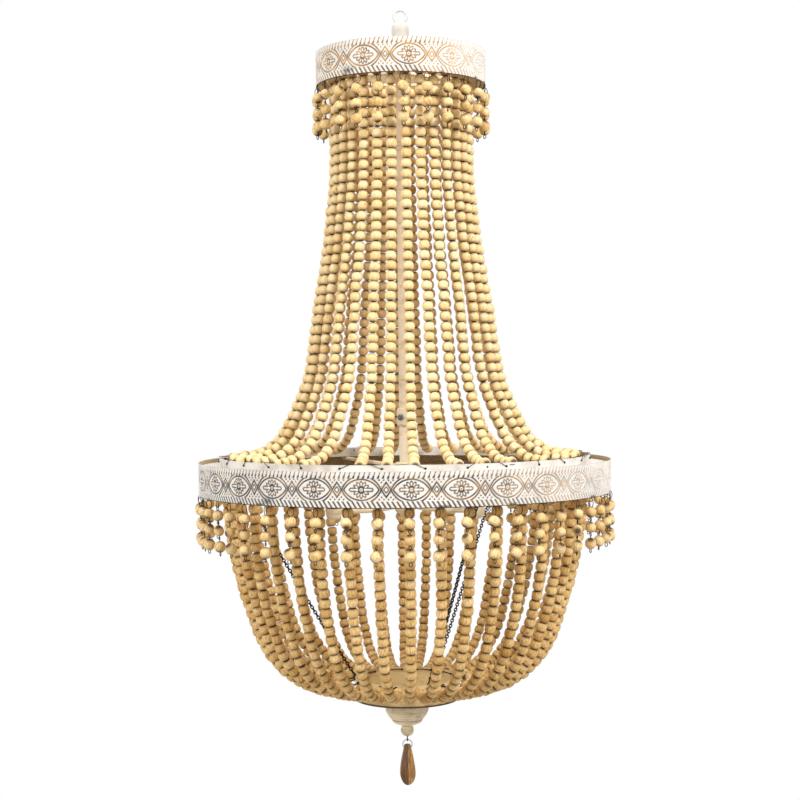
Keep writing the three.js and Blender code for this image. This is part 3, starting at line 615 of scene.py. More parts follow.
def bead_cloud(centres, ways, wide, tall, make, tilt, rng):
    """Beads at many centres along their ways, each a little different, with the attributes that colour them.

    The make is the power of their outline, their usual tone and how strongly their grain shows.
    """
    power, usual, streaks = make
    shape, faces, seam_shades = bead_shape(power)
    count = len(centres)
    spin = rng.uniform(0, FULL_TURN, count)
    ways = unit(ways + rng.normal(0, tilt, (count, 3)))
    flat = np.where(np.abs(ways[:, 2:]) > 0.9, [[1.0, 0, 0]], [[0, 0, 1.0]])
    side = unit(np.cross(ways, flat))
    other = np.cross(ways, side)
    first = np.cos(spin)[:, None] * side + np.sin(spin)[:, None] * other
    second = np.cross(ways, first)
    wide = (wide * rng.uniform(0.95, 1.0, count))[:, None]
    tall = (tall * rng.uniform(0.955, 0.995, count))[:, None]
    cloud = repeated(shape, faces, np.stack([first * wide, second * wide, ways * tall], axis=1), centres)
    # Each bead is cut from its own place in the wood, with its grain a little aslant; 13 is its usual size
    lean = rng.normal(0, 0.3, (count, 1, 2))
    grain = np.broadcast_to(shape, (count, *shape.shape)) * 13.0
    grain[..., :2] += lean * grain[..., 2:]
    grain += rng.uniform(0, 4000, (count, 1, 3))
    tone = np.clip(rng.normal(usual, 0.08, count), 0.12, 1)
    tone[rng.random(count) < 0.003] = 0.2
    depth = np.clip(streaks * rng.uniform(0.6, 1.4, count), 0, 1)
    marks = {"grain_place": grain.reshape(-1, 3), "tone": np.repeat(tone, len(shape)),
             "seam": np.tile(seam_shades, count), "streaks": np.repeat(depth, len(shape))}
    return cloud, marks


def along(line, pitch):
    """Centres and directions at equal steps of about the pitch along a line of points."""
    whole = travelled(line)[-1]
    count = max(1, int(round(whole / pitch)))
    at = (np.arange(count) + 0.5) * whole / count
    return points_at(at, line), unit(points_at(at + pitch / 2, line) - points_at(at - pitch / 2, line))


def upper_line(k, count):
    """Course of upper strand k: measured shares of run and fall; its drift grows with the run."""
    run, fall = (smooth_line(UPPER_COURSE * UPPER_SPAN, 160) / UPPER_SPAN).T
    turn = math.radians(UPPER_START) + (k + run * UPPER_DRIFTS[k % len(UPPER_DRIFTS)]) * FULL_TURN / count
    return polar(UPPER_TOP[0] + run * UPPER_SPAN[0], turn, UPPER_TOP[1] - fall * UPPER_SPAN[1])


def lower_line(k, count, inner):
    """Course of lower strand k down to the distance inner; its drift grows until 130 below the band."""
    course = smooth_line(LOWER_COURSE, 240)
    last = np.argmax(course[:, 0] <= inner) if course[-1, 0] <= inner else len(course)
    course = course[:max(last, 2)]
    signed = (k + count // 2) % count - count // 2
    half = len(LOWER_DRIFTS) // 2
    drift = LOWER_DRIFTS[signed + half] if abs(signed) <= half else 0
    turn = LOWER_START + k * 360 / count + drift * np.clip(-course[:, 1] / 130, 0, 1)
    return polar(course[:, 0], np.radians(turn), course[:, 1])


def strand_pieces(level, lines, share, make, rng):
    """The beads of the upper or lower level's strands, one piece for each CAD node's share of them."""
    pitch = mm("beads", level + "_pitch")
    for group in range(len(lines) // share):
        rows = [along(line, pitch) for line in lines[share * group:share * (group + 1)]]
        centres = np.vstack([at for at, _ in rows])
        ways = np.vstack([way for _, way in rows])
        centres = centres + rng.normal(0, 0.32, centres.shape)
        shape, marks = bead_cloud(centres, ways, mm("beads", "diameter"), pitch, make, 0.045, rng)
        put(f"{level}_beads_{group + 1:02d}", shape, bead_wood(),
            replaces=[f"{level}_strands_{group + 1:02d}"], attributes=marks)


class CHANDELIER_OT_upper_strands(bpy.types.Operator):
    """Beads of the upper strands and the wire that hangs and ties them"""

    bl_idname = "chandelier.upper_strands"
    bl_label = "Upper strands"

    def execute(self, context):
        rng = np.random.default_rng(RNG_SEED)
        count = settings("beads").upper_count
        lines = [upper_line(k, count) for k in range(count)]
        strand_pieces("upper", lines, 2, UPPER_MAKE, rng)
        half = mm("beads", "wire") / 2
        starts = math.radians(UPPER_START) + np.arange(count) * FULL_TURN / count
        hooks = routes(starts, [(86, 512.3), (83, 512.3), (82.1, 511.2), (82, 507), (82, 500)])
        ends = np.stack([line[-1] for line in lines])
        shape = [tubes(hooks, half), *self.ties(starts + math.radians(2), ends, half, rng)]
        put("upper_wires", joined(shape), black_wire())
        return {"FINISHED"}

    def ties(self, holes, ends, half, rng):
        """Each wire goes out through its hole, slants up over the rim and on to the strand on its way."""
        count = len(holes)
        leans = rng.uniform(-3, 3, count)
        for k, lean in RIM_LEANS.items():
            leans[k] = lean
        cross = holes + np.radians(leans)
        end_turns = np.arctan2(ends[:, 0], -ends[:, 1])
        aim = cross[:, None] - end_turns[None, :]
        taken = np.argmin(np.abs((aim + math.pi) % FULL_TURN - math.pi), axis=1)
        missed = np.setdiff1d(np.arange(count), taken)
        hole = np.concatenate([holes, holes[missed]])
        cross = np.concatenate([cross, end_turns[missed] + 0.3 * (holes - end_turns)[missed]])
        ends = np.vstack([ends[taken], ends[missed]])
        cross = hole + (cross - hole + math.pi) % FULL_TURN - math.pi
        # Stations on the way out and up: distance, how far over from hole to crossing, ring height
        stations = ((226.5, 0, COLLAR_HOLES), (229.3, 0, 41.1), (229.6, 0.35, 42.6), (229.5, 0.7, 44.5),
                    (229.0, 1, 45.7), (228, 1, 46.0))
        paths = [polar(radius, (1 - over) * hole + over * cross, height) for radius, over, height in stations]
        paths += [0.5 * paths[-1] + 0.5 * ends + [0, 0, 0.6], ends + [0, 0, 0.3]]
        knots = hoops(polar(229.4, holes, 41.1), 0.95 * sideways(holes), np.array([0, 0, 0.75]), half,
                      steps=8)
        return tubes(np.stack(paths, axis=1), 0.65 * half), knots


class CHANDELIER_OT_lower_strands(bpy.types.Operator):
    """Beads of the basket and the wire that gathers them at the bowl"""

    bl_idname = "chandelier.lower_strands"
    bl_label = "Lower strands"

    def execute(self, context):
        rng = np.random.default_rng(RNG_SEED + 1)
        count = settings("beads").lower_count
        lines = [lower_line(k, count, 88.0 if k % 2 == 0 else 72.6) for k in range(count)]
        strand_pieces("lower", lines, 4, LOWER_MAKE, rng)
        half = mm("beads", "wire") / 2
        starts = math.radians(LOWER_START) + np.arange(count) * FULL_TURN / count
        hooks = routes(starts, [(223.5, 3.6), (220.4, 3.6), (219.6, 2.4), (219.5, -1), (219.5, -8)])
        shape = [tubes(hooks, half)]
        # Two strands share each hole in the bowl
        holes = starts[::2] + math.radians(4.5)
        outside, through, inside = (polar(*place) for place in (
            (67.4, holes, -236.2), (65.4, holes, BOWL_HOLES), (61.6, holes, -235.5)))
        for offset in (0, 1):
            ends = np.stack([line[-1] for line in lines[offset::2]])
            sagging = ends * 0.6 + outside * 0.4 + [0, 0, -1.0]
            shape.append(tubes(np.stack([ends, sagging, outside, through, inside], axis=1), half))
        # Inside the wall a thick staple joins the holes two by two, with a knob of wire at each end
        first, second = holes[::2], holes[1::2]
        stations = ((62.4, 0, -235.5), (60.9, 0, -235.4), (60.3, 0.25, -235.0), (60.0, 0.5, -234.8),
                    (60.3, 0.75, -235.0), (60.9, 1, -235.4), (62.4, 1, -235.5))
        step = second - first
        staples = [polar(radius, first + over * step, height) for radius, over, height in stations]
        shape.append(tubes(np.stack(staples, axis=1), 0.68, 8))
        beside = sideways(holes)
        up = np.array([0, 0, 1.0])
        shape.append(hoops(polar(60.9, holes, -235.4), 0.9 * beside, 0.8 * up, 0.6, steps=8))
        # Two wraps of wire outside each hole
        for shift in (-1, 1):
            centre = polar(66.2, holes + 0.012 * shift, -236.0 + 0.6 * shift)
            shape.append(hoops(centre, 1.6 * beside, 1.6 * up, half * 0.85, steps=10))
        put("lower_wires", joined(shape), black_wire())
        return {"FINISHED"}


def fringe(name, radius, bottom, turns, drops, node, rng):
    """Danglers under a band: three beads on a wire, a ring above them and small rings between and below."""
    half = mm("beads", "wire") / 2
    count = len(turns)
    out, round_way = outward(turns), sideways(turns)
    aside = np.clip(rng.normal(0, 0.035, (count, 1)), -0.07, 0.07)
    inward = np.clip(rng.normal(0.012, 0.012, (count, 1)), 0, 0.03)
    down = unit(np.array([[0, 0, -1.0]]) + aside * round_way - inward * out)
    top = polar(radius, turns, bottom - 0.85)

    def at(drop):
        return top + down * drop

    centres = np.concatenate([at(drop) for drop in drops])
    wide = np.repeat([12.9, 12.6, 13.8], count)
    tall = np.repeat([12.2, 11.8, 13.0], count)
    shape, marks = bead_cloud(centres, np.tile(down, (3, 1)), wide, tall, FRINGE_MAKE, 0.32, rng)
    put(name + "_beads", shape, bead_wood(), replaces=[node], attributes=marks)

    yaw = rng.uniform(-1.2, 1.2, count)
    facing = np.cos(yaw)[:, None] * round_way + np.sin(yaw)[:, None] * out
    reach = rng.uniform(3.0, 4.6, (count, 1))
    upper, middle, lower = drops
    shapes = [hoops(at(upper - 11.0), facing * reach, down * 5.2, half * 0.8, 5, 16)]
    for drop, wide in ((upper + 8.7, 1.5), (middle + 8.6, 1.5), (lower + 8.4, 1.9)):
        shapes.append(hoops(at(drop), facing * wide, down * wide * 1.25, half * 0.95, 5, 8))
    for first, last in (
        (upper - 6.2, upper + 7.2), (upper + 10.2, middle + 7.0), (middle + 10.2, lower + 6.8),
    ):
        shapes.append(tubes(np.stack([at(first), at(last)], axis=1), half * 0.85, sides=5))
    hem = polar(radius, np.arange(180) * FULL_TURN / 180, bottom - 0.3)
    shapes.append(tubes(hem, half * 0.8, sides=6, closed=True))
    put(name + "_wires", joined(shapes), black_wire())


class CHANDELIER_OT_fringes(bpy.types.Operator):
    """Danglers of three beads under both bands"""

    bl_idname = "chandelier.fringes"
    bl_label = "Fringes"

    def execute(self, context):
        rng = np.random.default_rng(RNG_SEED + 2)
        turns = np.radians(1.4) + np.arange(23) * FULL_TURN / 23
        fringe("top_fringe", mm("bands", "small_radius") - 0.5, TOP_BAND, turns, (15.6, 33.0, 49.8),
               "top_fringe", rng)
        turns = 1.0 + np.arange(50) * 7.2
        turns[-1:-1 - len(FRINGE_DRIFTS):-1] += FRINGE_DRIFTS
        fringe("wide_fringe", mm("bands", "wide_radius") - 1.2, 0.0, np.radians(turns), (16.2, 34.2, 52.8),
               "middle_fringe", rng)
        return {"FINISHED"}


# Stamped bands


def stroke(distance, half):
    """A soft-edged line, 1 on it and 0 off it, from the distance to its middle."""
    return np.clip((half - np.abs(distance)) / 0.45 + 0.5, 0, 1)


def fading(value, start, reach):
    """Nought up to the start, rising evenly to one over the reach; a reach below nought turns it round."""
    return np.clip((value - start) / reach, 0, 1)


def lens(x, y, reach, rise):
    """Signed distance to a pointed oval made of two arcs, reach to each tip and rise to its top."""
    radius = (reach**2 + rise**2) / (2 * rise)
    return np.sqrt(x**2 + (np.abs(y) + radius - rise) ** 2) - radius


def stamping(x, z, pitch):
    """Dark lines and raised ground of the border: eyes with a rosette and a bar, diamonds, edge strokes.

    Each figure is a signed distance: pointed ovals for the eyes and their brackets, sums of sideways and
    upright distance for the diamonds, a rounded bar, and ovals turned into twelve petals.
    """
    y = z - 19.7
    aside = np.abs(np.abs(x) - pitch / 2)
    from_centre = np.hypot(x, y)
    eye_way, bracket_way = lens(x, y, 19.7, 11.4), lens(x, y, 22.0, 15.2)
    steep = aside / 5.3 + np.abs(y) / 8.2 - 1
    bracket = stroke(bracket_way, 0.9) * (np.abs(y) < 12.7) * (steep > 0)
    inner = stroke((aside / 2.8 + np.abs(y) / 3.35 - 1) * 2.15, 0.65)
    bar_way = np.sqrt(np.maximum(np.abs(x) - 11.4, 0) ** 2 + y**2) - 1.7
    bar = stroke(bar_way, 0.7) * (from_centre > 6.4)
    petal_angle = (np.arctan2(y, x) + math.pi / 12) % (math.pi / 6) - math.pi / 12
    px, py = from_centre * np.cos(petal_angle) - 6.2, from_centre * np.sin(petal_angle)
    petal_way = (np.sqrt((px / 2.9) ** 2 + (py / 1.45) ** 2) - 1) * 1.45
    petals = stroke(petal_way, 0.5) * ~((np.abs(y) < 1.5) & (np.abs(x) > 3.2))
    eyelet = np.maximum(stroke(from_centre - 2.4, 0.5), stroke(from_centre, 0.8))
    # Slanting strokes, ten to a motif, stand along the upper edge and lean the other way along the lower one
    step = pitch / 10
    upper = ((x - (z - 34.3) * 0.36) % step) - step / 2
    upper = stroke(upper * 0.94, 0.5 + 0.6 * fading(z, 35.2, -0.8)) * fading(z, 31.5, 0.5)
    lower = ((x + (z - 3.4) * 0.62) % step) - step / 2
    lower = stroke(lower * 0.85, 1.0) * fading(z, 7.3, -0.6)
    # Between the eyes lie small lozenges on a slanting grid, 5.1 apart sideways
    u, v = (aside + np.abs(y) - 0.4) % 5.1 - 2.55, (aside - np.abs(y) + 0.4) % 5.1 - 2.55
    dots = stroke(np.maximum(np.abs(u), 0.8 * np.abs(v)), 1.15) * (steep > 0.3) * (bracket_way > 1.5)
    ink = np.max([stroke(eye_way, 0.9), bracket, stroke(steep * 4.45, 0.9), inner, bar, petals, eyelet,
                  upper, lower, dots * (np.abs(y) < 12.2)], axis=0)
    raised = np.max([
        0.5 * (bar_way < 0) * (from_centre > 3.4), 0.6 * (petal_way < 0), 0.5 * (from_centre < 2.9),
        0.45 * (steep < 0), 0.5 * ((eye_way > 0) & (bracket_way < 0)), 0.6 * (z < 7.2), 0.35 * (z > 31),
    ], axis=0)
    return ink, raised


def band_arc(radius, bottom, start, end, phase, golden, rng):
    """An arc of stamped band between two azimuths: outer face sunk by the stamping, inner face and rims.

    Columns are 0.66 apart. Gold shows in the lines by the given share, and more toward the right.
    """
    height, pitch, relief = mm("bands", "height"), mm("bands", "pitch"), mm("bands", "relief")
    closed = abs(end - start) > FULL_TURN - 1e-6
    columns = int(round(abs(end - start) * radius / 0.66)) + (0 if closed else 1)
    turns = np.linspace(start, end, columns, endpoint=not closed)[None, :]
    z = np.concatenate([[0.0], np.linspace(0.15, height - 0.15, 60), [height],
                        np.linspace(height - 0.15, 0.15, 18)])[:, None]
    within = np.concatenate([np.zeros(62), np.ones(18)])[:, None]
    x = ((turns - phase) * radius + pitch / 2) % pitch - pitch / 2
    ink, raised = stamping(*np.broadcast_arrays(x, z), pitch)
    wave = sum(np.sin(n * turns + s) for n, s in zip((7, 13, 23), rng.uniform(0, 6, 3))) / 3
    outer = radius - 0.35 - relief * ink + 0.3 * raised * (1 - ink) + 0.04 * wave
    edge = (z < 0.05) | (z > height - 0.05)
    faced = np.where(edge, radius - 0.6, outer) * (1 - within) + (radius - 1.0) * within
    # Toward the right gold comes up and the lines grow faint, until both fade again at the back
    behind = fading(turns, math.pi, -1.5)
    gold = golden + 0.75 * fading(turns, 0.1, 0.6) * behind - 0.25 * fading(z, 9, -4)
    gold = np.clip(gold + 0.25 * np.sin(turns * 17 + 0.4 * z), 0, 1)
    faint = 1 - 0.6 * fading(turns, 0.3, 0.8) * behind
    # Wear: patches where three waves meet, at the rims and the lowest 3, and one smudge left of the front
    waves = np.sin(turns * 3.1 + 1.0) * np.sin(turns * 11 + 2.2) * np.sin(turns * 29)
    patches = np.clip(waves * 6 - 2.2, 0, 1) * np.where(edge, 1, 0.8 * fading(z, 3.2, -2))
    smudge = 0.8 * np.exp(-(((turns + 0.648) * radius / 7) ** 2) - ((z - 5) / 4) ** 2)
    marks = {
        "ink": np.where(z > height - 0.5, 0.6, ink * faint * np.where(within > 0, 0.35, 1)),
        "gold": np.where(z > height - 0.5, 1, gold),
        "worn": np.maximum(patches, smudge) * (1 - within), "inside": within,
    }
    marks = {key: np.broadcast_to(values, faced.shape).ravel() for key, values in marks.items()}
    faces = grid_faces(len(z), columns, close_rows=True, close_columns=closed).tolist()
    if not closed:
        side = np.arange(len(z)) * columns
        faces += [side[::-1].tolist(), (side + columns - 1).tolist()]
    return (polar(faced, turns, z + bottom).reshape(-1, 3), faces), marks


class CHANDELIER_OT_bands(bpy.types.Operator):
    """Both stamped bands"""

    bl_idname = "chandelier.bands"
    bl_label = "Stamped bands"

    def execute(self, context):
        rng = np.random.default_rng(RNG_SEED + 3)
        wide, small = mm("bands", "wide_radius"), mm("bands", "small_radius")
        # The wide band has 29 motifs, shared out over three pieces
        step = FULL_TURN / 29
        start = WIDE_EYE - 14.5 * step
        for name, first, last, nodes in (
            ("wide_band_left", 0, 10, ["middle_band"]), ("wide_band_front", 10, 19, []),
            ("wide_band_right", 19, 29, []),
        ):
            shape, marks = band_arc(wide, 0.0, start + first * step, start + last * step, WIDE_EYE, 0.12, rng)
            put(name, shape, stamped_iron(), replaces=nodes, attributes=marks)
        shape, marks = band_arc(small, TOP_BAND, -math.pi, math.pi, TOP_EYE, 0.75, rng)
        put("top_band_stamped", shape, stamped_iron(), replaces=["top_band"], attributes=marks)
        return {"FINISHED"}


# Frame, stem and rings


def holed_wall(radius, thickness, bottom, top, holes, hole_z, hole_radius):
    """A hoop pierced by round holes: rings of points pass from each hole's circle to its share of wall."""
    holes = np.sort(np.asarray(holes) % FULL_TURN)
    after = np.roll(holes, -1)
    after[-1] += FULL_TURN
    right = (holes + after) / 2
    left = np.roll(right, 1)
    left[0] -= FULL_TURN
    half_left, half_right = (holes - left)[:, None], (right - holes)[:, None]
    # Sixteen points stand round a hole's share, from its lower left corner
    across = np.array([-1, -0.5, 0, 0.5, 1, 1, 1, 1, 1, 0.5, 0, -0.5, -1, -1, -1, -1])
    up = np.array([-1, -1, -1, -1, -1, -0.5, 0, 0.5, 1, 1, 1, 1, 1, 0.5, 0, -0.5])
    angle = np.arctan2(up, across)
    count, sides = len(holes), len(across)
    edge_turn = np.where(across < 0, across * half_left, across * half_right)
    edge_z = np.where(up < 0, up * (hole_z - bottom), up * (top - hole_z)) + 0 * half_left
    rim_turn = hole_radius * np.cos(angle) / radius + 0 * half_left
    rim_z = hole_radius * np.sin(angle) + 0 * half_left
    shares = np.array([0, 0.06, 0.2, 0.5, 1.0])[None, :, None]
    turn = rim_turn[:, None] * (1 - shares) + edge_turn[:, None] * shares + holes[:, None, None]
    z = rim_z[:, None] * (1 - shares) + edge_z[:, None] * shares + hole_z
    half = shares.size * sides
    outer = polar(radius, turn, z).reshape(count, half, 3)
    inner = polar(radius - thickness, turn, z).reshape(count, half, 3)
    points = np.concatenate([outer, inner], axis=1)
    # One share has an outer and an inner face, the wall of its hole, and the hoop's two rims
    face = grid_faces(shares.size, sides)
    rim = np.arange(sides)
    walls = np.stack([rim, rim + half, (rim + 1) % sides + half, (rim + 1) % sides], axis=1)
    edge = half - sides + np.array([0, 1, 2, 3, 8, 9, 10, 11])
    edges = np.stack([edge, edge + 1, edge + 1 + half, edge + half], axis=1)
    one = np.vstack([face, (face + half)[:, ::-1], walls, edges])
    faces = (one[None] + (np.arange(count) * 2 * half)[:, None, None]).reshape(-1, 4)
    return points.reshape(-1, 3), faces.tolist()


class CHANDELIER_OT_stem(bpy.types.Operator):
    """Hanging loop, stem, coupling with its screw, and the top frame"""

    bl_idname = "chandelier.stem"
    bl_label = "Loop and stem"

    def execute(self, context):
        radius = mm("hardware", "stem_radius")
        cream = cream_paint()
        # The stem takes a paler copy of the cream paint: painted light where the strands shade it
        pale = rubbed_paint("stem_paint_with_painted_light", linear("#fff0d6"), linear("#d3ad80"))
        turns = np.linspace(0, FULL_TURN, 40, endpoint=False)
        eye = np.stack([7.5 * np.cos(turns), 0 * turns, 7.5 * np.sin(turns) - 5.7], axis=1)
        # The loop is cast, so its thickness wavers a little
        loop = tubes(eye, 1.8 * (1 + 0.04 * np.sin(3 * turns + 1)), 12, closed=True)
        top = 568.5
        sleeve = lathe(softened([
            (0.6, top - 8), (6.45, top - 8), (6.45, top - 29.5), (10.5, top - 29.5), (10.5, top - 6.4),
            (9.6, top - 2.6), (6.4, top), (0.6, top - 0.1),
        ], 1.2), 48)
        put("loop_and_sleeve", joined([loop, sleeve]), plain_iron(), replaces=["hanging_loop"],
            sharp=40)
        for name, bottom, high in (("stem_upper", 92.3, 560.2), ("stem_lower", 4.3, 91.3)):
            tube = turned_ring(radius - 1.4, radius, bottom, high, 0.4, 36)
            put(name + "_tube", tube, pale, replaces=[name], sharp=40)
        put("coupling_sleeve", turned_ring(6.5, 8.7, 80.8, 102.8, 0.8, 40), cream,
            replaces=["stem_coupling"], sharp=40)
        self.screw()
        for node in ("top_frame", "lower_ring"):
            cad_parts[node].data.materials.clear()
            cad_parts[node].data.materials.append(cream)
        return {"FINISHED"}

    def screw(self):
        """Slotted screw: a turned head on a shank, its face split by a slanting slot."""
        outline = np.array([(0.3, 0), (1.8, 0), (1.8, 2.5), (3.6, 2.5), (4.0, 2.9), (4.0, 3.9), (3.4, 4.5),
                            (2.6, 4.6), (1.7, 4.6), (0.9, 4.6), (0.3, 4.6)])
        segments = 32
        turns = np.arange(segments) * FULL_TURN / segments
        x, y = outline[:, :1] * np.cos(turns), outline[:, :1] * np.sin(turns)
        slot = (outline[:, 1:] > 4.55) & (np.abs(x + y) < 0.9)
        depth = 6.5 + outline[:, 1:] - 0.8 * slot
        way = math.radians(-28)
        points = (x[..., None] * sideways(way) + depth[..., None] * outward(way)).reshape(-1, 3)
        points[:, 2] += y.ravel() + 91.8 + EDGE
        put("slotted_screw", (points, capped_faces(len(outline), segments)), bright_steel(),
            replaces=["set_screw"], sharp=35)


class CHANDELIER_OT_rings(bpy.types.Operator):
    """Pierced collar with its ledge, and the spider that carries it"""

    bl_idname = "chandelier.rings"
    bl_label = "Collar and spider"

    def execute(self, context):
        holes = np.concatenate([np.radians(5.7 + 12 * np.arange(30)), CHAIN_TURNS])
        strip = holed_wall(228.6, 1.2, 33.0, 44.6, holes, COLLAR_HOLES, 1.2)
        lip = turned_ring(227.3, 228.7, 44.4, 45.0, 0.25, 180)
        ledge = turned_ring(227.6, 252.6, 33.0, 34.2, 0, 180)
        put("pierced_collar", joined([strip, lip, ledge]), plain_iron(),
            replaces=["collar_ring"], sharp=40)
        hub = lathe(softened([
            (6.5, 24.3), (10.5, 24.3), (12, 26), (12, 34.6), (10.5, 36.3), (6.5, 36.3),
        ], 1.0, loop=True), 40, loop=True)
        # The rods taper a little where they end
        stations = [(9.2 + 242.6 * share, 30.3) for share in (0, 0.004, 0.5, 0.996, 1)]
        rods = tubes(routes(np.radians([80, 200, 320]), stations), 2.4 * np.array([0.8, 1, 1, 1, 0.8]), 12)
        put("spider_rods", joined([hub, rods]), cream_paint(), replaces=["spider"], sharp=40)
        return {"FINISHED"}


class CHANDELIER_OT_arms(bpy.types.Operator):
    """Turned arm hub, candle arms, drip cups and candle sleeves"""

    bl_idname = "chandelier.arms"
    bl_label = "Candle arms"

    def execute(self, context):
        cream = cream_paint()
        body = smooth_line([
            (10.4, 24), (13.2, 22), (13.2, 17.5), (9.4, 12), (8.6, 0), (10, -6), (13.6, -11), (14, -19),
            (11.5, -25), (6.2, -30), (3.6, -33.6),
        ], 60)
        hub = lathe(np.vstack([[(6.5, 4.0), (6.5, 24.0)], body, [(0.5, -34.0)]]), 40)
        angles = np.radians([60, 180, 300])
        course = smooth_line([(6, -16.6), (25, -20), (50, -21.4), (75, -21.4), (96, -20.8)], 30)
        arms = tubes(routes(angles, course), 3.1, 14)
        boss = smooth_line([(9.6, -16.9), (9.9, -19), (9.7, -22.2), (8.8, -26.7), (7, -29.5), (4, -30.5)], 24)
        boss, boss_faces = lathe(np.vstack([[(0.5, -16.6)], boss, [(0.5, -30.6)]]), 28)
        shifts = ARM_REACH * outward(angles)
        bosses = [(boss + shift, boss_faces) for shift in shifts]
        put("arm_hub_turned", joined([hub, arms, *bosses]), cream,
            replaces=["arm_hub"], sharp=50)
        cup, cup_faces = lathe(softened([
            (0.5, -16.3), (8, -16.3), (10.6, -11.7), (16.7, -5.7), (17, -4.3), (15.6, -4.3), (15, -5.4),
            (10, -10.4), (9.6, -14.7), (0.5, -14.7),
        ], 0.8), 40)
        rim = fading(cup[:, 2] - EDGE, -7.2, 1.2).clip(0, 0.8)
        sleeve, sleeve_faces = lathe(softened([
            (0.5, -14.4), (8.7, -14.4), (8.7, 17.6), (7.3, 17.6), (7.3, -10.4), (0.5, -10.4),
        ], 0.4), 36)
        for number, shift in enumerate(shifts, 1):
            put(f"drip_cup_{number}", (cup + shift, cup_faces), plain_iron() if number == 3 else cream,
                replaces=[f"cup_{number}"], attributes={"bare": rim}, sharp=40)
            put(f"candle_sleeve_{number}", (sleeve + shift, sleeve_faces), ivory_sleeve(),
                replaces=[f"sleeve_{number}"], sharp=40)
        return {"FINISHED"}


class CHANDELIER_OT_chains(bpy.types.Operator):
    """Link chains from the collar down to the bowl"""

    bl_idname = "chandelier.chains"
    bl_label = "Chains"

    def execute(self, context):
        # Steel chain plated in aged bronze: dark brown, brighter in small patches
        bronze = plain_metal("aged_bronze_plate", settings("hardware").chain, 0.5, 600)
        # One link: an oval ring of wire 1.6 thick, 6.8 long and 5.2 wide, lying along X
        link = hoops(np.zeros((1, 3)), np.array([[2.6, 0, 0]]), np.array([[0, 1.8, 0]]), 0.78, 5, 12)
        pitch, sag, lean = 3.8, 5.0, 0.5
        for number, turn in enumerate(CHAIN_TURNS, 1):
            top, foot = polar(226.3, turn, 40.9), polar(67.9, turn, -229.1)
            shares = np.linspace(0, 1, 240)
            line = top + (foot - top) * shares[:, None]
            line[:, 2] -= sag * np.sin(math.pi * shares)
            centres, ways = along(line, pitch)
            side = sideways(turn) + 0 * ways
            side = unit(side - np.sum(side * ways, axis=1, keepdims=True) * ways)
            other = np.cross(ways, side)
            # Every other link stands across the one before it, and all lean a little
            odd = (np.arange(len(ways)) % 2)[:, None]
            first = side * np.where(odd, math.cos(lean), math.sin(lean))
            first = first + other * np.where(odd, -math.sin(lean), math.cos(lean))
            axes = np.stack([ways, first, np.cross(ways, first)], axis=1)
            turns = np.array([turn])
            tie = tubes(routes(turns, [(229.6, 41.0), (227.6, 41.0), (226.4, 40.8), (225.6, 39.6)]), 0.55)
            hook = tubes(routes(turns, [(67.9, -228.1), (66.4, -231.4), (64.6, -231.0), (62.8, -231.3),
                                        (62.0, -232.6), (61.9, -234.1)]), 0.55)
            put(f"link_chain_{number}", joined([repeated(*link, axes, centres), tie, hook]), bronze,
                replaces=[f"chain_{number}"])
        return {"FINISHED"}


class CHANDELIER_OT_bowl(bpy.types.Operator):
    """Spun bowl with its wire holes"""

    bl_idname = "chandelier.bowl"
    bl_label = "Bowl"

    def execute(self, context):
        hardware = settings("hardware")
        tan = rubbed_paint("rubbed_tan_paint", hardware.bowl_paint, hardware.bowl_rubbed)
        radius = mm("hardware", "bowl_radius")
        wall = holed_wall(radius, 1.4, -258.6, -233.1, np.radians(5.6 + 18 * np.arange(20)), BOWL_HOLES, 1.2)
        lip = turned_ring(radius - 1.6, radius + 0.1, -233.3, -232.5, 0.35, 120)
        floor = turned_ring(3.2, radius + 0.9, -260.5, -258.5, 0.6, 96)
        points, faces = joined([wall, lip, floor])
        # The lower edge is rubbed bare, the upper one a little
        away = np.hypot(points[:, 0], points[:, 1])
        bare = np.where(away > radius + 0.15, 0.95, 0) + np.where(points[:, 2] - EDGE > -232.8, 0.25, 0)
        put("spun_bowl", (points, faces), tan, replaces=["bowl"],
            attributes={"bare": bare}, sharp=40)
        return {"FINISHED"}


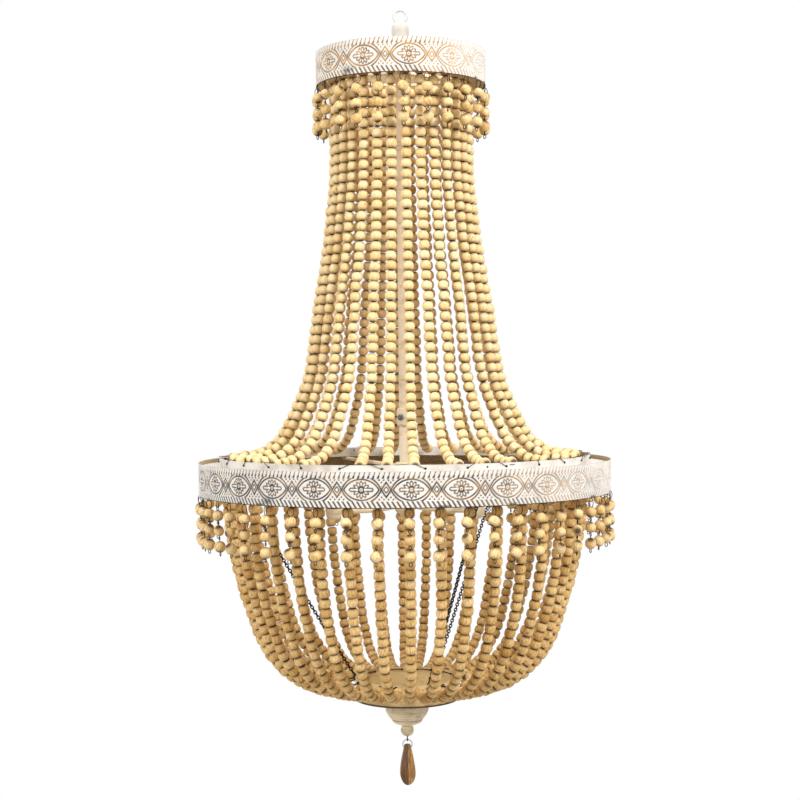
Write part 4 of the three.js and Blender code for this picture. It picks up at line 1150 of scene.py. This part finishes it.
class CHANDELIER_OT_finial(bpy.types.Operator):
    """Two-tier dome, ball, hook, split ring and the wooden drop"""

    bl_idname = "chandelier.finial"
    bl_label = "Finial and drop"

    def execute(self, context):
        worn = rubbed_paint("worn_cream_paint", settings("hardware").paint, linear("#7b6142"))
        tier = smooth_line([(27.9, -261.8), (27.7, -266), (27.6, -270), (26.7, -276), (24.2, -281.4),
                            (20.4, -286.2)], 22)
        low = smooth_line([(19.4, -286.9), (19.2, -288.6), (16.8, -291.4), (12.4, -293.3)], 14)
        dome = lathe(np.vstack([
            [(0.4, -260.8), (27.2, -260.8)], tier, [(19.7, -286.6)], low,
            [(3.1, -293.4), (2.5, -293.3), (2.5, -286.2), (0.4, -286.2)],
        ]), 64)
        stud = lathe(softened([
            (0.4, -262.5), (2.9, -262.5), (2.9, -250.9), (2.4, -250.5), (0.4, -250.5),
        ], 0.3), 20)
        nut = lathe(softened([(0.4, -258.2), (6, -258.2), (6, -254.2), (0.4, -254.2)], 0.4), 6)
        points, faces = joined([dome, stud, nut])
        put("finial_dome_turned", (points, faces), worn, replaces=["finial_dome"],
            attributes={"bare": 0.8 * near(points, -286.9, 0.5)}, sharp=50)
        centre, radius = -301.1, 8.3
        arc = np.linspace(math.asin(0.45), math.pi - math.asin(0.25), 22)
        ball = np.stack([radius * np.sin(arc), centre + radius * np.cos(arc)], axis=1)
        top, foot = ball[0, 1], ball[-1, 1]
        points, faces = lathe(np.vstack([
            [(0.4, top + 6.6), (2.2, top + 6.6), (2.2, top)], ball,
            [(0.9, foot), (0.9, foot + 5.3), (0.3, foot + 5.3)],
        ]), 40)
        necks = near(points, top, 0.9) + near(points, foot, 0.9)
        put("finial_ball_turned", (points, faces), worn, replaces=["finial_ball"],
            attributes={"bare": 0.8 * necks}, sharp=50)
        eye_z = foot - 3.8
        turns = np.linspace(-0.5 * math.pi, 1.42 * math.pi, 26)
        eye = np.stack([0 * turns, 2.2 * np.cos(turns), eye_z + EDGE - 2.2 * np.sin(turns)], axis=1)
        stalk = polar(0, 0, np.array([foot + 5, foot + 1, foot - 0.6]))
        put("drop_hook_wire", tubes(np.vstack([stalk, eye]), 0.75, 10), black_wire(),
            replaces=["drop_hook"])
        # A split ring is two turns of wire side by side
        ring_z = eye_z - 6.6
        coil = np.linspace(0, 2 * FULL_TURN * 0.97, 90)
        ring = np.stack([5.9 * np.cos(coil), 0.42 * (coil / FULL_TURN - 1),
                         5.9 * np.sin(coil) + ring_z + EDGE], axis=1)
        put("split_ring_coil", tubes(ring, 0.46, 8), bright_steel(), body="ring",
            replaces=["split_ring"])
        self.drop(ring_z - 5.1)
        return {"FINISHED"}

    def drop(self, hole_z):
        """The drop: an outline carried round as a hexagon with slightly rounded edges, bored across."""
        shares = np.array([(0.30, 0.0), (0.40, 0.008), (0.475, 0.08), (0.62, 0.2), (0.8, 0.36), (0.93, 0.52),
                           (1, 0.66), (0.97, 0.78), (0.76, 0.9), (0.42, 0.972), (0.2, 1.0)])
        rows, columns, facets = 60, 72, 6
        outline = smooth_line(shares * [10.6, 52.3], rows)
        turns = np.arange(columns) * FULL_TURN / columns
        sixth = FULL_TURN / facets
        facet = math.cos(sixth / 2) / np.cos(turns % sixth - sixth / 2)
        radius = outline[:, :1] * (0.06 + 0.94 * facet[None, :])
        points = polar(radius, turns + math.radians(7.5), hole_z + 5.2 - outline[:, 1:]).reshape(-1, 3)
        faces = [face[::-1] for face in capped_faces(rows, columns)]
        # Each facet gets its own painted shade, none at the front right and most at the front left, as
        # lamplight would fall
        painted_facet_light = np.tile(np.repeat([1.0, 0.5, 0.8, 0.3, 0.6, 0.0], columns // facets), rows)
        piece = put("wooden_drop", (points, faces), drop_wood(), body="drop", replaces=["drop"],
                    attributes={"facet": painted_facet_light}, sharp=20)
        path = np.array([[-14, 0, hole_z + EDGE], [14, 0, hole_z + EDGE]])
        cutter = placed("bore", mesh_of("bore", tubes(path, 2.0, 20)))
        cut = piece.modifiers.new("bore", "BOOLEAN")
        cut.operation, cut.object, cut.solver = "DIFFERENCE", cutter, "EXACT"
        bpy.context.view_layer.update()
        result = bpy.data.meshes.new_from_object(piece.evaluated_get(bpy.context.evaluated_depsgraph_get()))
        piece.modifiers.clear()
        piece.data = result
        bpy.data.objects.remove(cutter)


# Stage


def aim(item, side, up, back, at):
    """Puts an object at a place in metres, with its own axes along side, up and back."""
    item.matrix_world = Matrix([*zip(side, up, back, at), (0, 0, 0, 1)])


class CHANDELIER_OT_stage(bpy.types.Operator):
    """Floor, white world, lamps and the photograph's camera"""

    bl_idname = "chandelier.stage"
    bl_label = "Stage"

    def execute(self, context):
        self.floor()
        self.world()
        self.lamps()
        self.camera()
        context.scene.view_settings.view_transform = "Standard"
        return {"FINISHED"}

    def seen(self, tree):
        """One where a ray comes from the camera or through gloss or glass, else nought."""
        path = add(tree, "LightPath").outputs
        both = add(tree, "Math", {0: path["Is Camera Ray"], 1: path["Is Glossy Ray"]}, operation="MAXIMUM")
        return add(tree, "Math", {0: both, 1: path["Is Transmission Ray"]}, operation="MAXIMUM")

    def floor(self):
        """A large pale disc far below the lamp: rings of points round the axis."""
        depth = -mm("stage", "floor") - EDGE
        points, faces = lathe([(20, depth), (900, depth), (2600, depth)], 96)
        # The cap over the outer rim is left out, and the rest faces up
        mesh = mesh_of("pale_floor", (points, [face[::-1] for face in faces[:-1]]))
        disc = placed("pale_floor", mesh)
        made, tree, shader = finish_named("pale_floor_paint", 0.9)
        feed(shader, {"Base Color": (0.9, 0.9, 0.9, 1)})
        dull = add(tree, "BsdfDiffuse", {"Color": (0.7, 0.62, 0.5, 1)})
        both = add(tree, "MixShader", {0: self.seen(tree), 1: dull, 2: shader})
        feed(tree.nodes["Material Output"], {"Surface": both})
        mesh.materials.append(made)

    def world(self):
        """White as far as the eye, gloss and glass see; soft light, stronger from above, for the rest."""
        stage = settings("stage")
        world = bpy.data.worlds.new("white_room")
        bpy.context.scene.world = world
        world.use_nodes = True
        tree = world.node_tree
        tree.nodes.clear()
        way = add(tree, "TexCoord").outputs["Generated"]
        rise = add(tree, "SeparateXYZ", {0: way}).outputs["Z"]
        level = add(tree, "MapRange", {"Value": rise, "From Min": -0.7, "From Max": 0.9,
                                       "To Min": stage.below, "To Max": stage.above})
        white = add(tree, "Background", {"Color": (1, 1, 1, 1), "Strength": 1.0})
        soft = add(tree, "Background", {"Color": "#fbf9f6", "Strength": level})
        both = add(tree, "MixShader", {0: self.seen(tree), 1: soft, 2: white})
        add(tree, "OutputWorld", {"Surface": both})

    def lamps(self):
        """A key lamp high in front at the right, a weaker one at the left and one overhead."""
        target = np.array([0, 0, -0.4])
        for name, place, watts, width in (
            ("key_lamp", (1.8, -1.8, 1.0), 74, 0.8), ("fill_lamp", (-2.1, -1.5, 0.4), 42, 0.9),
            ("top_lamp", (0.1, -0.2, 1.7), 20, 0.9),
        ):
            data = bpy.data.lights.new(name, "AREA")
            data.energy, data.size = watts, width
            back = unit(np.array(place) - target)
            side = unit(np.cross([0.01, 0, 1], back))
            aim(placed(name, data), side, np.cross(back, side), back, place)

    def camera(self):
        """The fitted camera: 71 mm lens, nodding down 4.9 degrees, with a small roll and a raised frame."""
        stage = settings("stage")
        nod, roll = -0.0848, 0.0102
        pixels, focus, middle = 800, 1579.17, (405.10, 510.09)
        right = np.array([1.0, 0, 0])
        ahead = np.array([0, math.cos(nod), math.sin(nod)])
        up = np.cross(right, ahead)
        right, up = (math.cos(roll) * right - math.sin(roll) * up,
                     math.sin(roll) * right + math.cos(roll) * up)
        data = bpy.data.cameras.new("photo_camera")
        data.sensor_width = 36
        data.lens = focus / pixels * 36
        data.shift_x = (pixels / 2 - middle[0]) / pixels
        data.shift_y = (middle[1] - pixels / 2) / pixels
        data.clip_end = 50
        camera = placed("photo_camera", data)
        aim(camera, right, up, -ahead, (0, -stage.distance, stage.height + EDGE / METRE))
        bpy.context.scene.camera = camera


OPERATORS = (
    CHANDELIER_OT_stage, CHANDELIER_OT_upper_strands, CHANDELIER_OT_lower_strands, CHANDELIER_OT_fringes,
    CHANDELIER_OT_bands, CHANDELIER_OT_stem, CHANDELIER_OT_rings, CHANDELIER_OT_arms, CHANDELIER_OT_chains,
    CHANDELIER_OT_bowl, CHANDELIER_OT_finial,
)
GROUPS = {"beads": BeadSettings, "bands": BandSettings, "hardware": HardwareSettings, "stage": StageSettings}


class CHANDELIER_PT_panel(bpy.types.Panel):
    """Lists the chandelier's settings and its pieces"""

    bl_idname = "CHANDELIER_PT_panel"
    bl_label = "Chandelier"
    bl_space_type = "VIEW_3D"
    bl_region_type = "UI"
    bl_category = "Chandelier"

    def draw(self, context):
        for name, group in GROUPS.items():
            box = self.layout.box()
            box.label(text=name.capitalize())
            for key in group.__annotations__:
                box.prop(settings(name), key)
        for operator in OPERATORS:
            self.layout.operator(operator.bl_idname)


CLASSES = (*GROUPS.values(), *OPERATORS, CHANDELIER_PT_panel)


def register():
    """Registers the classes and hangs the settings on the scene."""
    for item in CLASSES:
        bpy.utils.register_class(item)
    for name, group in GROUPS.items():
        setattr(bpy.types.Scene, "chandelier_" + name, PointerProperty(type=group))


def unregister():
    """Takes the settings and the classes away again."""
    for name in GROUPS:
        delattr(bpy.types.Scene, "chandelier_" + name)
    for item in reversed(CLASSES):
        bpy.utils.unregister_class(item)


def main():
    """Builds every piece in order."""
    register()
    for operator in OPERATORS:
        group, name = operator.bl_idname.split(".")
        getattr(getattr(bpy.ops, group), name)()


if __name__ == "__main__":
    main()
